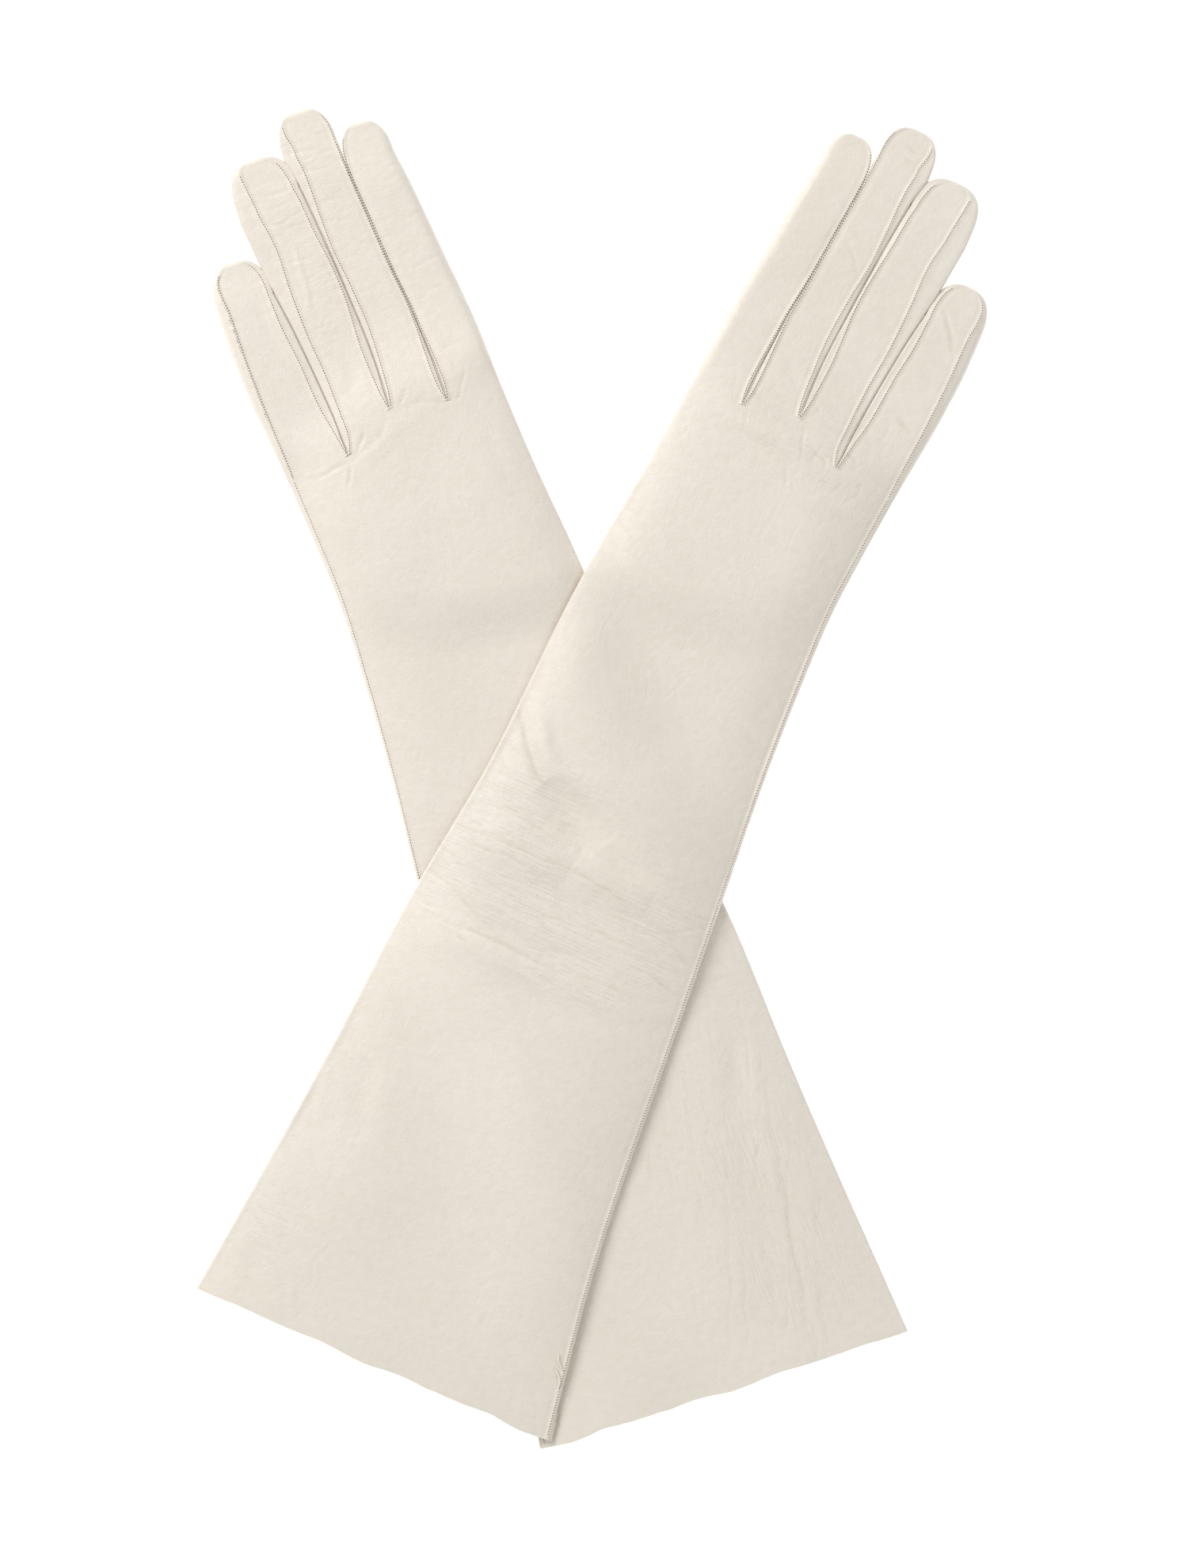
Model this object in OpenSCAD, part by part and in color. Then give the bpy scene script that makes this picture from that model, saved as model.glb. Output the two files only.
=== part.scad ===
// A pair of elbow-length dress gloves in thin ivory leather, laid flat and crossed, backs up.
// Millimetres, +Z up. The origin is on the table, below the middle of the pair.
// The left glove lies on the table and the right glove lies across it.
//
// A glove is drawn in its own frame: y runs from the cuff (0) to the fingertips, x is negative
// on the side of the index finger, where the leather is folded, and positive on the side of the
// little finger, where its edges are sewn together.

/* [Glove size] */
// Length of a glove, from the cuff to the tip of the middle finger
glove_l = 461; // [445:1:477]
// Width of the cuff, laid flat
cuff_w = 131; // [125:1:137]
// Width of the palm, laid flat
palm_w = 80; // [77:1:83]

/* [Leather] */
// Thickness of the leather
leather_t = 0.6; // [0.4:0.1:0.7]
// Height of a pressed edge, two layers of leather and a little air
edge_h = 1.6; // [1.6:0.1:2.2]
// Height of the empty arm at its middle
arm_h = 6.6; // [6.2:0.1:8]
// Height of the empty hand at its middle
hand_h = 6.6; // [6:0.1:7.4]
// Height of an empty finger at its middle
finger_h = 4.6; // [4:0.1:5.6]
// Height of a finger's sides where it leaves the hand
root_edge_h = 3.4; // [2.4:0.1:3.6]

/* [Thumb] */
// Reach of the thumb from its pivot to its tip
thumb_reach = 41.5; // [36:0.5:42]
// Width of the thumb at its base
thumb_base_w = 18; // [16:0.5:19]
// Height of the empty thumb
thumb_h = 3.0; // [2.4:0.1:3.1]
// Turn of the thumb inwards, under the palm
thumb_turn = 62; // [50:1:75]
// Diameter of the thumb hole in the palm
thumb_hole_d = 13; // [10:0.5:14]

/* [Sewing] */
// Diameter of the sewing thread
thread_d = 0.5; // [0.4:0.05:0.6]
// Distance of the side seam from the edge, at the arm
seam_inset_arm = 1.2; // [1:0.1:2]
// Distance of the side seam from the edge, at the hand
seam_inset_hand = 3; // [2:0.1:4]

/* [Crossing] */
// Tilt of the left glove, which lies below
left_tilt = 18.3; // [16:0.1:20]
// Tilt of the right glove, which lies across it
right_tilt = 23.7; // [22:0.1:26]

/* [Clearance] */
// Gap between parts that move on each other
joint_gap = 0.3; // [0.2:0.05:0.4]
// Gap between neighbouring fingers
finger_gap = 0.6; // [0.5:0.05:0.7]
// Gap between the two gloves where they cross
cross_gap = 0.4; // [0.3:0.1:1]

/* [Hidden] */

leather_colour = [0.89, 0.87, 0.82];
thread_colour = [0.94, 0.91, 0.85];

// Middle of each cuff, in the plan of the pair
left_cuff = [45.5, -208.7];
right_cuff = [-73.5, -199.8];

// The outlines below are drawn for this size and scaled to the driving sizes
drawn_l = 461;
drawn_cuff_w = 131;
drawn_palm_w = 80;

// Where the flared cuff ends and the arm begins, and where the arm ends and the hand begins
cuff_y = 127;
wrist_y = 300;
// Where the hand ends, between the fingers: [x, y] of the crotches and of the two edges
finger_line = [[-37, 351], [-17, 350.5], [2.5, 354], [21, 343.5], [46, 341]];

// Edges of the glove, as [y, x]
fold_edge = [
    [0, -66.5], [30, -63.5], [60, -60.5], [100, -57], [150, -53.5], [205, -47], [260, -44.5],
    [290, -42], [320, -38.5], [350, -36], [375, -34.5], [400, -31.5], [425, -28.5], [440, -26]
];
seam_edge = [
    [0, 65], [25, 61], [50, 57], [80, 53.5], [140, 49], [200, 44.5], [240, 41.5], [280, 40],
    [300, 40], [320, 41.5], [345, 44], [370, 47], [390, 48.5], [410, 48.5]
];
// Gaps between the fingers, as [y, x]
index_middle_gap = [[350, -17], [365, -16.5], [385, -15], [400, -13], [420, -11], [436, -9.5], [450, -9]];
middle_ring_gap = [[354, 2.5], [375, 2.5], [397, 4], [413, 5.5], [427, 7], [438, 8.5], [446, 10.5]];
ring_little_gap = [[343, 21], [355, 21.5], [370, 23], [390, 25.5], [402, 27.5], [414, 29.5], [430, 31.5]];
// Seams that show on the backs of the middle and ring fingers, as [y, x]
middle_outer_seam = [
    [354, 1.5], [370, 0.5], [385, 0.5], [400, 2], [412, 3.5], [425, 5], [440, 6.5], [455, 7.5]
];
ring_outer_seam = [
    [343, 20], [350, 19], [358, 19], [372, 20], [388, 21.5], [403, 22.5], [420, 23.5], [440, 23.5]
];

// Where each finger is drawn from, its tip, and where its tip begins to round
index_span = [351, 451, 434];
middle_span = [352, 461, 444];
ring_span = [349, 450, 431];
little_span = [342, 419, 400];

// Height at which the folded thumb holds up the palm, and how far that spreads
prop_h = thumb_h + joint_gap + 0.1;
thumb_pivot = [-26, 309.5];
prop_flat_r = 44;
prop_end_r = 84;
// The prop falls away this many times faster towards the arm
prop_arm_k = 1.8;

// How the upper glove leaves the lower one: flat within the first share of its half width,
// down on the table at the second
drape_flat = 0.55;
drape_end = 1.35;

// Gap between the hand and the finger line, which curves between the hand's own columns
root_gap = 0.6;
// Height of the hand's sides where the fingers begin
hand_edge_h = 2.2;

// Rows of points along each piece and columns around it
cuff_rows = 12;
arm_rows = 15;
seam_rows = 26;
hand_rows = 8;
finger_rows = 12;
tube_cols = 22;
index_cols = 13;
back_cols = 7;
palm_cols = 5;
strip_cols = 4;
thumb_rows = 9;
thumb_cols = 14;
thread_sides = 6;

// Gap between the cuff and the arm, which move as one
sleeve_gap = 0.1;
// Gap between two sewn edges, as a share of the way across
edge_gap = 0.015;
// Where the seams next to a finger's sides run, as shares of the way across its back
back_inner = 0.1;
index_outer = 0.92;
// Where the palm's seams run, as shares of the way across the underside
palm_outer = 0.86;
palm_inner = 0.36;

length_k = glove_l / drawn_l;

// A smooth curve through [key, value] points
function knot(key, pts, i = 0) =
    (i >= len(pts) - 2 || key < pts[i + 1][0]) ? i : knot(key, pts, i + 1);
function slope(pts, i) =
    let (a = max(i - 1, 0), b = min(i + 1, len(pts) - 1))
    (pts[b][1] - pts[a][1]) / (pts[b][0] - pts[a][0]);
function curve(key, pts) =
    let (
        i = knot(key, pts),
        run = pts[i + 1][0] - pts[i][0],
        t = min(max((key - pts[i][0]) / run, 0), 1)
    )
    pts[i][1] * (2 * t * t * t - 3 * t * t + 1) + slope(pts, i) * run * (t * t * t - 2 * t * t + t)
    + pts[i + 1][1] * (3 * t * t - 2 * t * t * t) + slope(pts, i + 1) * run * (t * t * t - t * t);
function ease(t) = let (c = min(max(t, 0), 1)) c * c * (3 - 2 * c);
function mix(a, b, t) = a + (b - a) * t;

// Width scale at a height: the cuff's at the bottom, the palm's from the wrist up
function width_k(y) = mix(cuff_w / drawn_cuff_w, palm_w / drawn_palm_w, ease(y / wrist_y));
function left_x(y) = curve(y, fold_edge) * width_k(y);
function right_x(y) = curve(y, seam_edge) * width_k(y);
function gap_x(y, pts) = curve(y, pts) * palm_w / drawn_palm_w;
function finger_line_y(x) = curve(x * drawn_palm_w / palm_w, finger_line);
function seam_inset(y) = mix(seam_inset_arm, seam_inset_hand, ease((y - 240) / 90));

// Height of the palm over the folded thumb
function prop(x, y) =
    let (
        dx = x - thumb_pivot[0],
        dy = (y - thumb_pivot[1]) * (y < thumb_pivot[1] ? prop_arm_k : 1)
    )
    prop_h * (1 - ease((norm([dx, dy]) - prop_flat_r) / (prop_end_r - prop_flat_r)));

// Height of the tube of leather at its middle
function tube_h(y) = mix(arm_h, hand_h, ease((y - 240) / 60)) - ease((y - 310) / 40) * 0.8;

// The plan of the right glove's point, seen in the left glove's own frame
function in_left_frame(x, y) =
    let (
        px = right_cuff[0] + x * cos(right_tilt) + y * sin(right_tilt) - left_cuff[0],
        py = right_cuff[1] - x * sin(right_tilt) + y * cos(right_tilt) - left_cuff[1]
    )
    [-px * cos(left_tilt) - py * sin(left_tilt), -px * sin(left_tilt) + py * cos(left_tilt)];
// Height of the left glove under a point of the right glove
function drape(x, y) =
    let (
        p = in_left_frame(x, y * length_k),
        v = p[1] / length_k,
        lo = left_x(v),
        hi = right_x(v),
        u = abs(2 * p[0] - lo - hi) / (hi - lo),
        fall = min(max((u - drape_flat) / (drape_end - drape_flat), 0), 1)
    )
    (prop(p[0], v) + tube_h(v) + cross_gap) * pow(cos(90 * fall), 2);
function floor_z(x, y, over) = prop(x, y) + (over ? drape(x, y) : 0);

// A point on the flattened tube between two edges. s runs from 0 at the left edge over the back
// to 1 at the right edge, and on under the palm to 2 at the left edge again.
function tube_point(s, lo, hi, y, rise, edge, inset) =
    let (
        turn = s % 2,
        q = turn <= 1 ? turn : 2 - turn,
        way = turn <= 1 ? 1 : -1,
        half = (hi - lo) / 2,
        reach = half - 1.5 * inset,
        dx = -reach * cos(180 * q),
        thick = edge + (rise - edge) * (1 - pow(abs(dx / half), 4)),
        d = (reach - abs(dx)) / (edge / 2),
        swell = d >= 1 ? 1 : sqrt(1 - pow(1 - d, 2))
    )
    [(lo + hi) / 2 + dx, y, thick / 2 + way * (thick / 2 - inset) * swell];
function raise(p, over) = [p[0], p[1] * length_k, p[2] + floor_z(p[0], p[1], over)];

// The share across the back at which a given x lies
function share_at(x, lo, hi) = acos(min(max((lo + hi - 2 * x) / (hi - lo), -0.98), 0.98)) / 180;
function side_share(y) =
    let (lo = left_x(y), hi = right_x(y)) share_at(hi - seam_inset(y), lo, hi);

// Points of the arm and of the hand
function arm_point(s, y, over, inset) =
    raise(tube_point(s, left_x(y), right_x(y), y, tube_h(y), edge_h, inset), over);
function hand_point(s, f, over, inset) =
    let (
        y0 = wrist_y + joint_gap / 2,
        guess = tube_point(s, left_x(345), right_x(345), 0, 6, edge_h, 0),
        y = mix(y0, finger_line_y(guess[0]) - root_gap, f),
        edge = mix(edge_h, hand_edge_h, f)
    )
    raise(tube_point(s, left_x(y), right_x(y), y, tube_h(y), edge, inset), over);

// Edges of a finger, rounded together at its tip
function finger_lo(name, y) =
    name == "index" ? left_x(y)
    : name == "middle" ? gap_x(y, index_middle_gap) + finger_gap / 2
    : name == "ring" ? gap_x(y, middle_ring_gap) + finger_gap / 2
    : gap_x(y, ring_little_gap) + finger_gap / 2;
function finger_hi(name, y) =
    name == "index" ? gap_x(y, index_middle_gap) - finger_gap / 2
    : name == "middle" ? gap_x(y, middle_ring_gap) - finger_gap / 2
    : name == "ring" ? gap_x(y, ring_little_gap) - finger_gap / 2
    : right_x(y);
function span_of(name) =
    name == "index" ? index_span : name == "middle" ? middle_span
    : name == "ring" ? ring_span : little_span;
function finger_edges(name, y) =
    let (
        span = span_of(name),
        lo = finger_lo(name, min(y, span[2])),
        hi = finger_hi(name, min(y, span[2])),
        t = min(max((y - span[2]) / (span[1] - span[2]), 0), 0.98),
        k = sqrt(1 - t * t)
    )
    [(lo + hi) / 2 - (hi - lo) / 2 * k, (lo + hi) / 2 + (hi - lo) / 2 * k];
function finger_point(name, s, f, over, inset) =
    let (
        span = span_of(name),
        drawn_y = mix(span[0], span[1] - 0.4, f),
        wide = finger_edges(name, drawn_y),
        guess = tube_point(s, wide[0], wide[1], 0, finger_h, edge_h, 0),
        y = drawn_y + (finger_line_y(guess[0]) + joint_gap - span[0]) * pow(1 - f, 2),
        ends = finger_edges(name, y),
        rise = mix(tube_h(350), finger_h, ease(f * 4)) - 1 * ease((f - 0.75) / 0.25),
        edge = mix(root_edge_h, edge_h, ease(f * 5))
    )
    raise(tube_point(s, ends[0], ends[1], y, rise, edge, inset), over);
// Shares at which a finger's seams lie on its back, at one place along it
function back_outer_share(name, f) =
    let (
        span = span_of(name),
        y = mix(span[0], span[1], f),
        e = finger_edges(name, y)
    )
    name == "index" ? index_outer
    : name == "middle" ? share_at(gap_x(y, middle_outer_seam), e[0], e[1])
    : name == "ring" ? share_at(gap_x(y, ring_outer_seam), e[0], e[1])
    : share_at(e[1] - seam_inset_hand * (1 - 0.7 * f), e[0], e[1]);

// Rows along a finger, closer together towards the tip
function along(i, rows) = 1 - pow(1 - i / (rows - 1), 1.5);

// One sheet of leather: rows of points on its outer face and on its inner face
module sheet(outer, inner) {
    rows = len(outer);
    cols = len(outer[0]);
    n = rows * cols;
    points = concat([for (r = outer) for (p = r) p], [for (r = inner) for (p = r) p]);
    faces = concat(
        [for (i = [0 : rows - 2]) for (j = [0 : cols - 2]) each
            let (a = i * cols + j, b = a + 1, c = a + cols + 1, d = a + cols)
            [[a, c, b], [a, d, c], [a + n, b + n, c + n], [a + n, c + n, d + n]]],
        [for (i = [0 : rows - 2]) each
            let (a = i * cols, d = a + cols, b = a + cols - 1, c = d + cols - 1)
            [[d, a, a + n], [d, a + n, d + n], [b, c, c + n], [b, c + n, b + n]]],
        [for (j = [0 : cols - 2]) each
            let (a = j, b = j + 1, d = n - cols + j, c = d + 1)
            [[a, b, b + n], [a, b + n, a + n], [c, d, d + n], [c, d + n, c + n]]]
    );
    polyhedron(points, faces, convexity = 10);
}

// A length of thread through a row of points that runs mostly along y
module thread(path) {
    n = len(path);
    m = thread_sides;
    points = [for (p = path) for (k = [0 : m - 1])
        [p[0] + thread_d / 2 * cos(k * 360 / m), p[1], p[2] + thread_d / 2 * sin(k * 360 / m)]];
    faces = concat(
        [for (i = [0 : n - 2]) for (k = [0 : m - 1]) each
            let (a = i * m + k, b = i * m + (k + 1) % m, c = b + m, d = a + m)
            [[a, b, c], [a, c, d]]],
        [[for (k = [m - 1 : -1 : 0]) k], [for (k = [0 : m - 1]) (n - 1) * m + k]]
    );
    polyhedron(points, faces, convexity = 4);
}

// Places of the two gloves
module lower_glove() {
    translate(left_cuff) mirror([1, 0, 0]) rotate(-left_tilt) children();
}
module upper_glove() {
    translate(right_cuff) rotate(-right_tilt) children();
}

// Share of the leather's way round at column j of a piece that runs from a to b
function share(j, cols, a, b) = mix(a, b, j / (cols - 1));

// Cuff and arm of the glove: the same skin, folded round from seam to seam, in two lengths
module sleeve(over, from_y, to_y, count) {
    rows = [for (inset = [0, leather_t]) [for (i = [0 : count - 1])
        let (y = mix(from_y, to_y, i / (count - 1)), seam = side_share(y))
        [for (j = [0 : tube_cols - 1])
            arm_point(share(j, tube_cols, seam + edge_gap - 2, seam - edge_gap) + 2, y, over, inset)]]];
    color(leather_colour) sheet(rows[0], rows[1]);
}
module cuff(over) {
    sleeve(over, 0, cuff_y - sleeve_gap / 2, cuff_rows);
}
module arm(over) {
    sleeve(over, cuff_y + sleeve_gap / 2, wrist_y - joint_gap / 2, arm_rows);
}

// Hand of the glove, from the wrist to the finger line, with the hole for the thumb in its palm
module hand(over) {
    rows = [for (inset = [0, leather_t]) [for (i = [0 : hand_rows - 1])
        let (f = i / (hand_rows - 1), seam = side_share(mix(wrist_y, 345, f)))
        [for (j = [0 : tube_cols - 1])
            hand_point(share(j, tube_cols, seam + edge_gap - 2, seam - edge_gap) + 2, f, over, inset)]]];
    color(leather_colour) difference() {
        sheet(rows[0], rows[1]);
        translate([thumb_pivot[0], thumb_pivot[1] * length_k, thumb_h])
            cylinder(d = thumb_hole_d, h = 2, $fn = 32);
    }
}

// A piece of a finger that runs from share a to share b, where they may change along it
module finger_piece(name, over, cols, a, b) {
    rows = [for (inset = [0, leather_t]) [for (i = [0 : finger_rows - 1])
        let (f = along(i, finger_rows))
        [for (j = [0 : cols - 1])
            finger_point(name, share(j, cols, a[i], b[i]), f, over, inset)]]];
    color(leather_colour) sheet(rows[0], rows[1]);
}
// The same share at every row, and the back's outer seam at every row
function steady(s) = [for (i = [0 : finger_rows - 1]) s];
function outer_seam(name, shift) =
    [for (i = [0 : finger_rows - 1]) back_outer_share(name, along(i, finger_rows)) + shift];

// Index finger: the leather goes over the back, round the fold and under the palm
module index_shell(over) {
    finger_piece("index", over, index_cols,
        steady(2 - palm_outer), steady(2 + index_outer - edge_gap));
}
module finger_back(name, over) {
    finger_piece(name, over, back_cols, steady(back_inner + edge_gap), outer_seam(name, -edge_gap));
}
module finger_palm(name, over) {
    finger_piece(name, over, palm_cols, steady(2 - palm_outer), steady(2 - palm_inner));
}
// The little finger has no strip on its outer side, so its palm goes round to the side seam
module little_palm(over) {
    finger_piece("little", over, back_cols, outer_seam("little", edge_gap), steady(2 - palm_inner));
}
// Strips between back and palm: outer ones face the little finger, inner ones the thumb
module outer_fourchette(name, over) {
    finger_piece(name, over, strip_cols,
        outer_seam(name, edge_gap), steady(2 - palm_outer - 2 * edge_gap));
}
module inner_fourchette(name, over) {
    finger_piece(name, over, strip_cols,
        steady(2 - palm_inner + 2 * edge_gap), steady(2 + back_inner - edge_gap));
}

// Thumb, folded under the palm: one sheet round from seam to seam, with its mouth below the hole
module thumb() {
    base_y = -9;
    rows = [for (inset = [0, leather_t]) [for (i = [0 : thumb_rows - 1])
        let (
            f = i / (thumb_rows - 1),
            y = mix(base_y, thumb_reach, f),
            round_base = sqrt(max(1 - pow(min((y - 3) / 12.5, 0), 2), 0)),
            round_tip = sqrt(1 - pow(min(max((f - 0.75) / 0.255, 0), 1), 2) * 0.97),
            half = thumb_base_w / 2 * mix(1, 0.8, f) * min(round_base, round_tip)
        )
        [for (j = [0 : thumb_cols - 1])
            tube_point(share(j, thumb_cols, 1.02, 2.98), -half, half, y, thumb_h, edge_h, inset)]]];
    color(leather_colour) translate([thumb_pivot[0], thumb_pivot[1] * length_k, 0]) rotate(-thumb_turn)
        difference() {
            sheet(rows[0], rows[1]);
            translate([0, 0, thumb_h / 2]) cylinder(d = thumb_hole_d, h = thumb_h, $fn = 32);
        }
}

// Height of a thread's middle above or below the face it lies on
thread_rise = thread_d / 2 + 0.08;

// Thread of the side seam, on the arm and on the hand
module arm_seam_thread(over) {
    top_y = wrist_y - joint_gap / 2 - 0.1;
    color(thread_colour) thread([for (i = [0 : seam_rows - 1])
        let (y = mix(0.4, top_y, i / (seam_rows - 1)))
        arm_point(side_share(y), y, over, 0) + [0, 0, thread_rise]]);
}
module hand_seam_thread(over) {
    color(thread_colour) thread([for (i = [0 : hand_rows - 1])
        let (f = mix(0.02, 0.98, i / (hand_rows - 1)))
        hand_point(side_share(mix(wrist_y, 345, f)), f, over, 0) + [0, 0, thread_rise]]);
}
// Thread round the thumb hole, inside the palm
module thumb_hole_thread() {
    color(thread_colour)
        translate([thumb_pivot[0], thumb_pivot[1] * length_k, prop_h + leather_t + thread_rise])
        rotate_extrude($fn = 48) translate([thumb_hole_d / 2 + 1, 0]) circle(d = thread_d, $fn = 16);
}
// The middle of a thread that lies on the face through p, square to the way from a to b
function beside(p, a, b, rise) = let (t = b - a) p + [-t[2], 0, t[0]] * rise / norm([t[0], t[2]]);
// Thread along a finger at the given share of every row, on its outer or its inner face. It has a
// point at each of the leather's own rows, up to the last but one.
module finger_thread(name, over, shares, inset) {
    rise = inset == 0 ? thread_rise : -thread_rise;
    color(thread_colour) thread([for (i = [0 : finger_rows - 2])
        let (f = max(along(i, finger_rows), 0.02), s = shares[i])
        beside(
            finger_point(name, s, f, over, inset),
            finger_point(name, s - 0.01, f, over, inset),
            finger_point(name, s + 0.01, f, over, inset),
            rise
        )]);
}
module back_thread(name, over, shares) {
    finger_thread(name, over, shares, 0);
}
module palm_thread(name, over, s) {
    finger_thread(name, over, steady(s), leather_t);
}
module index_thread(over) {
    back_thread("index", over, outer_seam("index", 0));
    palm_thread("index", over, 2 - palm_outer);
}
module long_finger_thread(name, over) {
    back_thread(name, over, steady(back_inner));
    back_thread(name, over, outer_seam(name, 0));
    palm_thread(name, over, 2 - palm_outer);
    palm_thread(name, over, 2 - palm_inner);
}
module little_thread(over) {
    back_thread("little", over, steady(back_inner));
    back_thread("little", over, outer_seam("little", 0));
    palm_thread("little", over, 2 - palm_inner);
}
// Loose ends of the side seam's thread, near the right cuff
module thread_ends(over) {
    color(thread_colour) for (start = [19, 25]) thread([for (k = [0 : 4])
        let (
            y = start + k * 1.1,
            x = right_x(y) - 2.5 - 0.9 * k - 0.2 * k * k,
            p = arm_point(share_at(x, left_x(y), right_x(y)), y, over, 0)
        )
        p + [0, 0, thread_rise]]);
}

lower_glove() cuff(false);  // left_cuff
lower_glove() arm(false);  // left_arm
lower_glove() hand(false);  // left_hand
lower_glove() index_shell(false);  // left_index_shell
lower_glove() finger_back("middle", false);  // left_middle_back
lower_glove() finger_palm("middle", false);  // left_middle_palm
lower_glove() finger_back("ring", false);  // left_ring_back
lower_glove() finger_palm("ring", false);  // left_ring_palm
lower_glove() finger_back("little", false);  // left_little_back
lower_glove() little_palm(false);  // left_little_palm
lower_glove() thumb();  // left_thumb
lower_glove() outer_fourchette("index", false);  // left_index_outer_fourchette
lower_glove() inner_fourchette("middle", false);  // left_middle_inner_fourchette
lower_glove() outer_fourchette("middle", false);  // left_middle_outer_fourchette
lower_glove() inner_fourchette("ring", false);  // left_ring_inner_fourchette
lower_glove() outer_fourchette("ring", false);  // left_ring_outer_fourchette
lower_glove() inner_fourchette("little", false);  // left_little_inner_fourchette
lower_glove() arm_seam_thread(false);  // left_arm_seam_thread
lower_glove() hand_seam_thread(false);  // left_hand_seam_thread
lower_glove() thumb_hole_thread();  // left_thumb_hole_thread
lower_glove() index_thread(false);  // left_index_thread
lower_glove() long_finger_thread("middle", false);  // left_middle_thread
lower_glove() long_finger_thread("ring", false);  // left_ring_thread
lower_glove() little_thread(false);  // left_little_thread
upper_glove() cuff(true);  // right_cuff
upper_glove() arm(true);  // right_arm
upper_glove() hand(true);  // right_hand
upper_glove() index_shell(true);  // right_index_shell
upper_glove() finger_back("middle", true);  // right_middle_back
upper_glove() finger_palm("middle", true);  // right_middle_palm
upper_glove() finger_back("ring", true);  // right_ring_back
upper_glove() finger_palm("ring", true);  // right_ring_palm
upper_glove() finger_back("little", true);  // right_little_back
upper_glove() little_palm(true);  // right_little_palm
upper_glove() thumb();  // right_thumb
upper_glove() outer_fourchette("index", true);  // right_index_outer_fourchette
upper_glove() inner_fourchette("middle", true);  // right_middle_inner_fourchette
upper_glove() outer_fourchette("middle", true);  // right_middle_outer_fourchette
upper_glove() inner_fourchette("ring", true);  // right_ring_inner_fourchette
upper_glove() outer_fourchette("ring", true);  // right_ring_outer_fourchette
upper_glove() inner_fourchette("little", true);  // right_little_inner_fourchette
upper_glove() arm_seam_thread(true);  // right_arm_seam_thread
upper_glove() hand_seam_thread(true);  // right_hand_seam_thread
upper_glove() thumb_hole_thread();  // right_thumb_hole_thread
upper_glove() index_thread(true);  // right_index_thread
upper_glove() long_finger_thread("middle", true);  // right_middle_thread
upper_glove() long_finger_thread("ring", true);  // right_ring_thread
upper_glove() little_thread(true);  // right_little_thread
upper_glove() thread_ends(true);  // right_thread_ends
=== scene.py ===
import math

import bpy
import numpy as np
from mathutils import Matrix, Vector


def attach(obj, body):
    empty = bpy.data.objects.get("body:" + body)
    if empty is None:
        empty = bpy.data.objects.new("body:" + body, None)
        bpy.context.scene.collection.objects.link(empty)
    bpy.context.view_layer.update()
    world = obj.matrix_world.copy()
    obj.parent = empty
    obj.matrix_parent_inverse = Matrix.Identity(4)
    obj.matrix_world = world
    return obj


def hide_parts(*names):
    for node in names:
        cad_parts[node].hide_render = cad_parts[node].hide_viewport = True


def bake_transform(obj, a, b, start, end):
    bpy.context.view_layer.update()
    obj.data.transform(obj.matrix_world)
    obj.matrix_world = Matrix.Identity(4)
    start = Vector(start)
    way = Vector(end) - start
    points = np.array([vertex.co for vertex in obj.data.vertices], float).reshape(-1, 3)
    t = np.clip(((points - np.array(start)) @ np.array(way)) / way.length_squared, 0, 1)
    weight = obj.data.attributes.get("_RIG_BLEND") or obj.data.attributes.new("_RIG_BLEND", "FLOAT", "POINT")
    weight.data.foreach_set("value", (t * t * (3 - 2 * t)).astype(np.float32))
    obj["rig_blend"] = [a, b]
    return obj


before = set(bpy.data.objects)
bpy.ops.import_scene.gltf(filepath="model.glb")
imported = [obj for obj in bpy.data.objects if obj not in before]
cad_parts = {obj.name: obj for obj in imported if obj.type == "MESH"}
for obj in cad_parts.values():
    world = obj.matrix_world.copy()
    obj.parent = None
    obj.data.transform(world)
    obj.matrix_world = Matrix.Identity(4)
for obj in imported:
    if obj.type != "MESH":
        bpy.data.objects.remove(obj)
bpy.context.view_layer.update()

# A pair of ivory kid opera gloves, laid flat and crossed, backs up. Each glove is worked out in its
# own frame, in millimetres: y runs from the cuff to the fingertips, x is negative on the side of the
# folded edge and the index finger, and positive on the side of the sewn edge and the little finger.

MM = 0.001
SIDES = ("left", "right")

# ---------------------------------------------------------------- the glove's pattern

CUFF_MIDDLE = {"left": (45.5, -208.7), "right": (-73.5, -199.8)}
TILT = {"left": math.radians(18.3), "right": math.radians(23.7)}

LEATHER_THICKNESS = 0.6
WRIST_Y = 300
FINGER_LINE = [[-37, 351], [-17, 350.5], [2.5, 354], [21, 343.5], [46, 341]]
FOLD_EDGE = [
    [0, -66.5], [30, -63.5], [60, -60.5], [100, -57], [150, -53.5], [205, -47], [260, -44.5],
    [290, -42], [320, -38.5], [350, -36], [375, -34.5], [400, -31.5], [425, -28.5], [440, -26],
]
SEAM_EDGE = [
    [0, 65], [25, 61], [50, 57], [80, 53.5], [140, 49], [200, 44.5], [240, 41.5], [280, 40],
    [300, 40], [320, 41.5], [345, 44], [370, 47], [390, 48.5], [410, 48.5],
]
INDEX_MIDDLE_GAP = [[350, -17], [365, -16.5], [385, -15], [400, -13], [420, -11], [436, -9.5], [450, -9]]
MIDDLE_RING_GAP = [[354, 2.5], [375, 2.5], [397, 4], [413, 5.5], [427, 7], [438, 8.5], [446, 10.5]]
RING_LITTLE_GAP = [[343, 21], [355, 21.5], [370, 23], [390, 25.5], [402, 27.5], [414, 29.5], [430, 31.5]]
# Where each finger is drawn from, its tip, and where its tip begins to round
SPAN = {
    "index": (351, 451, 438), "middle": (352, 461, 448), "ring": (349, 450, 436), "little": (342, 419, 404),
}

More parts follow.
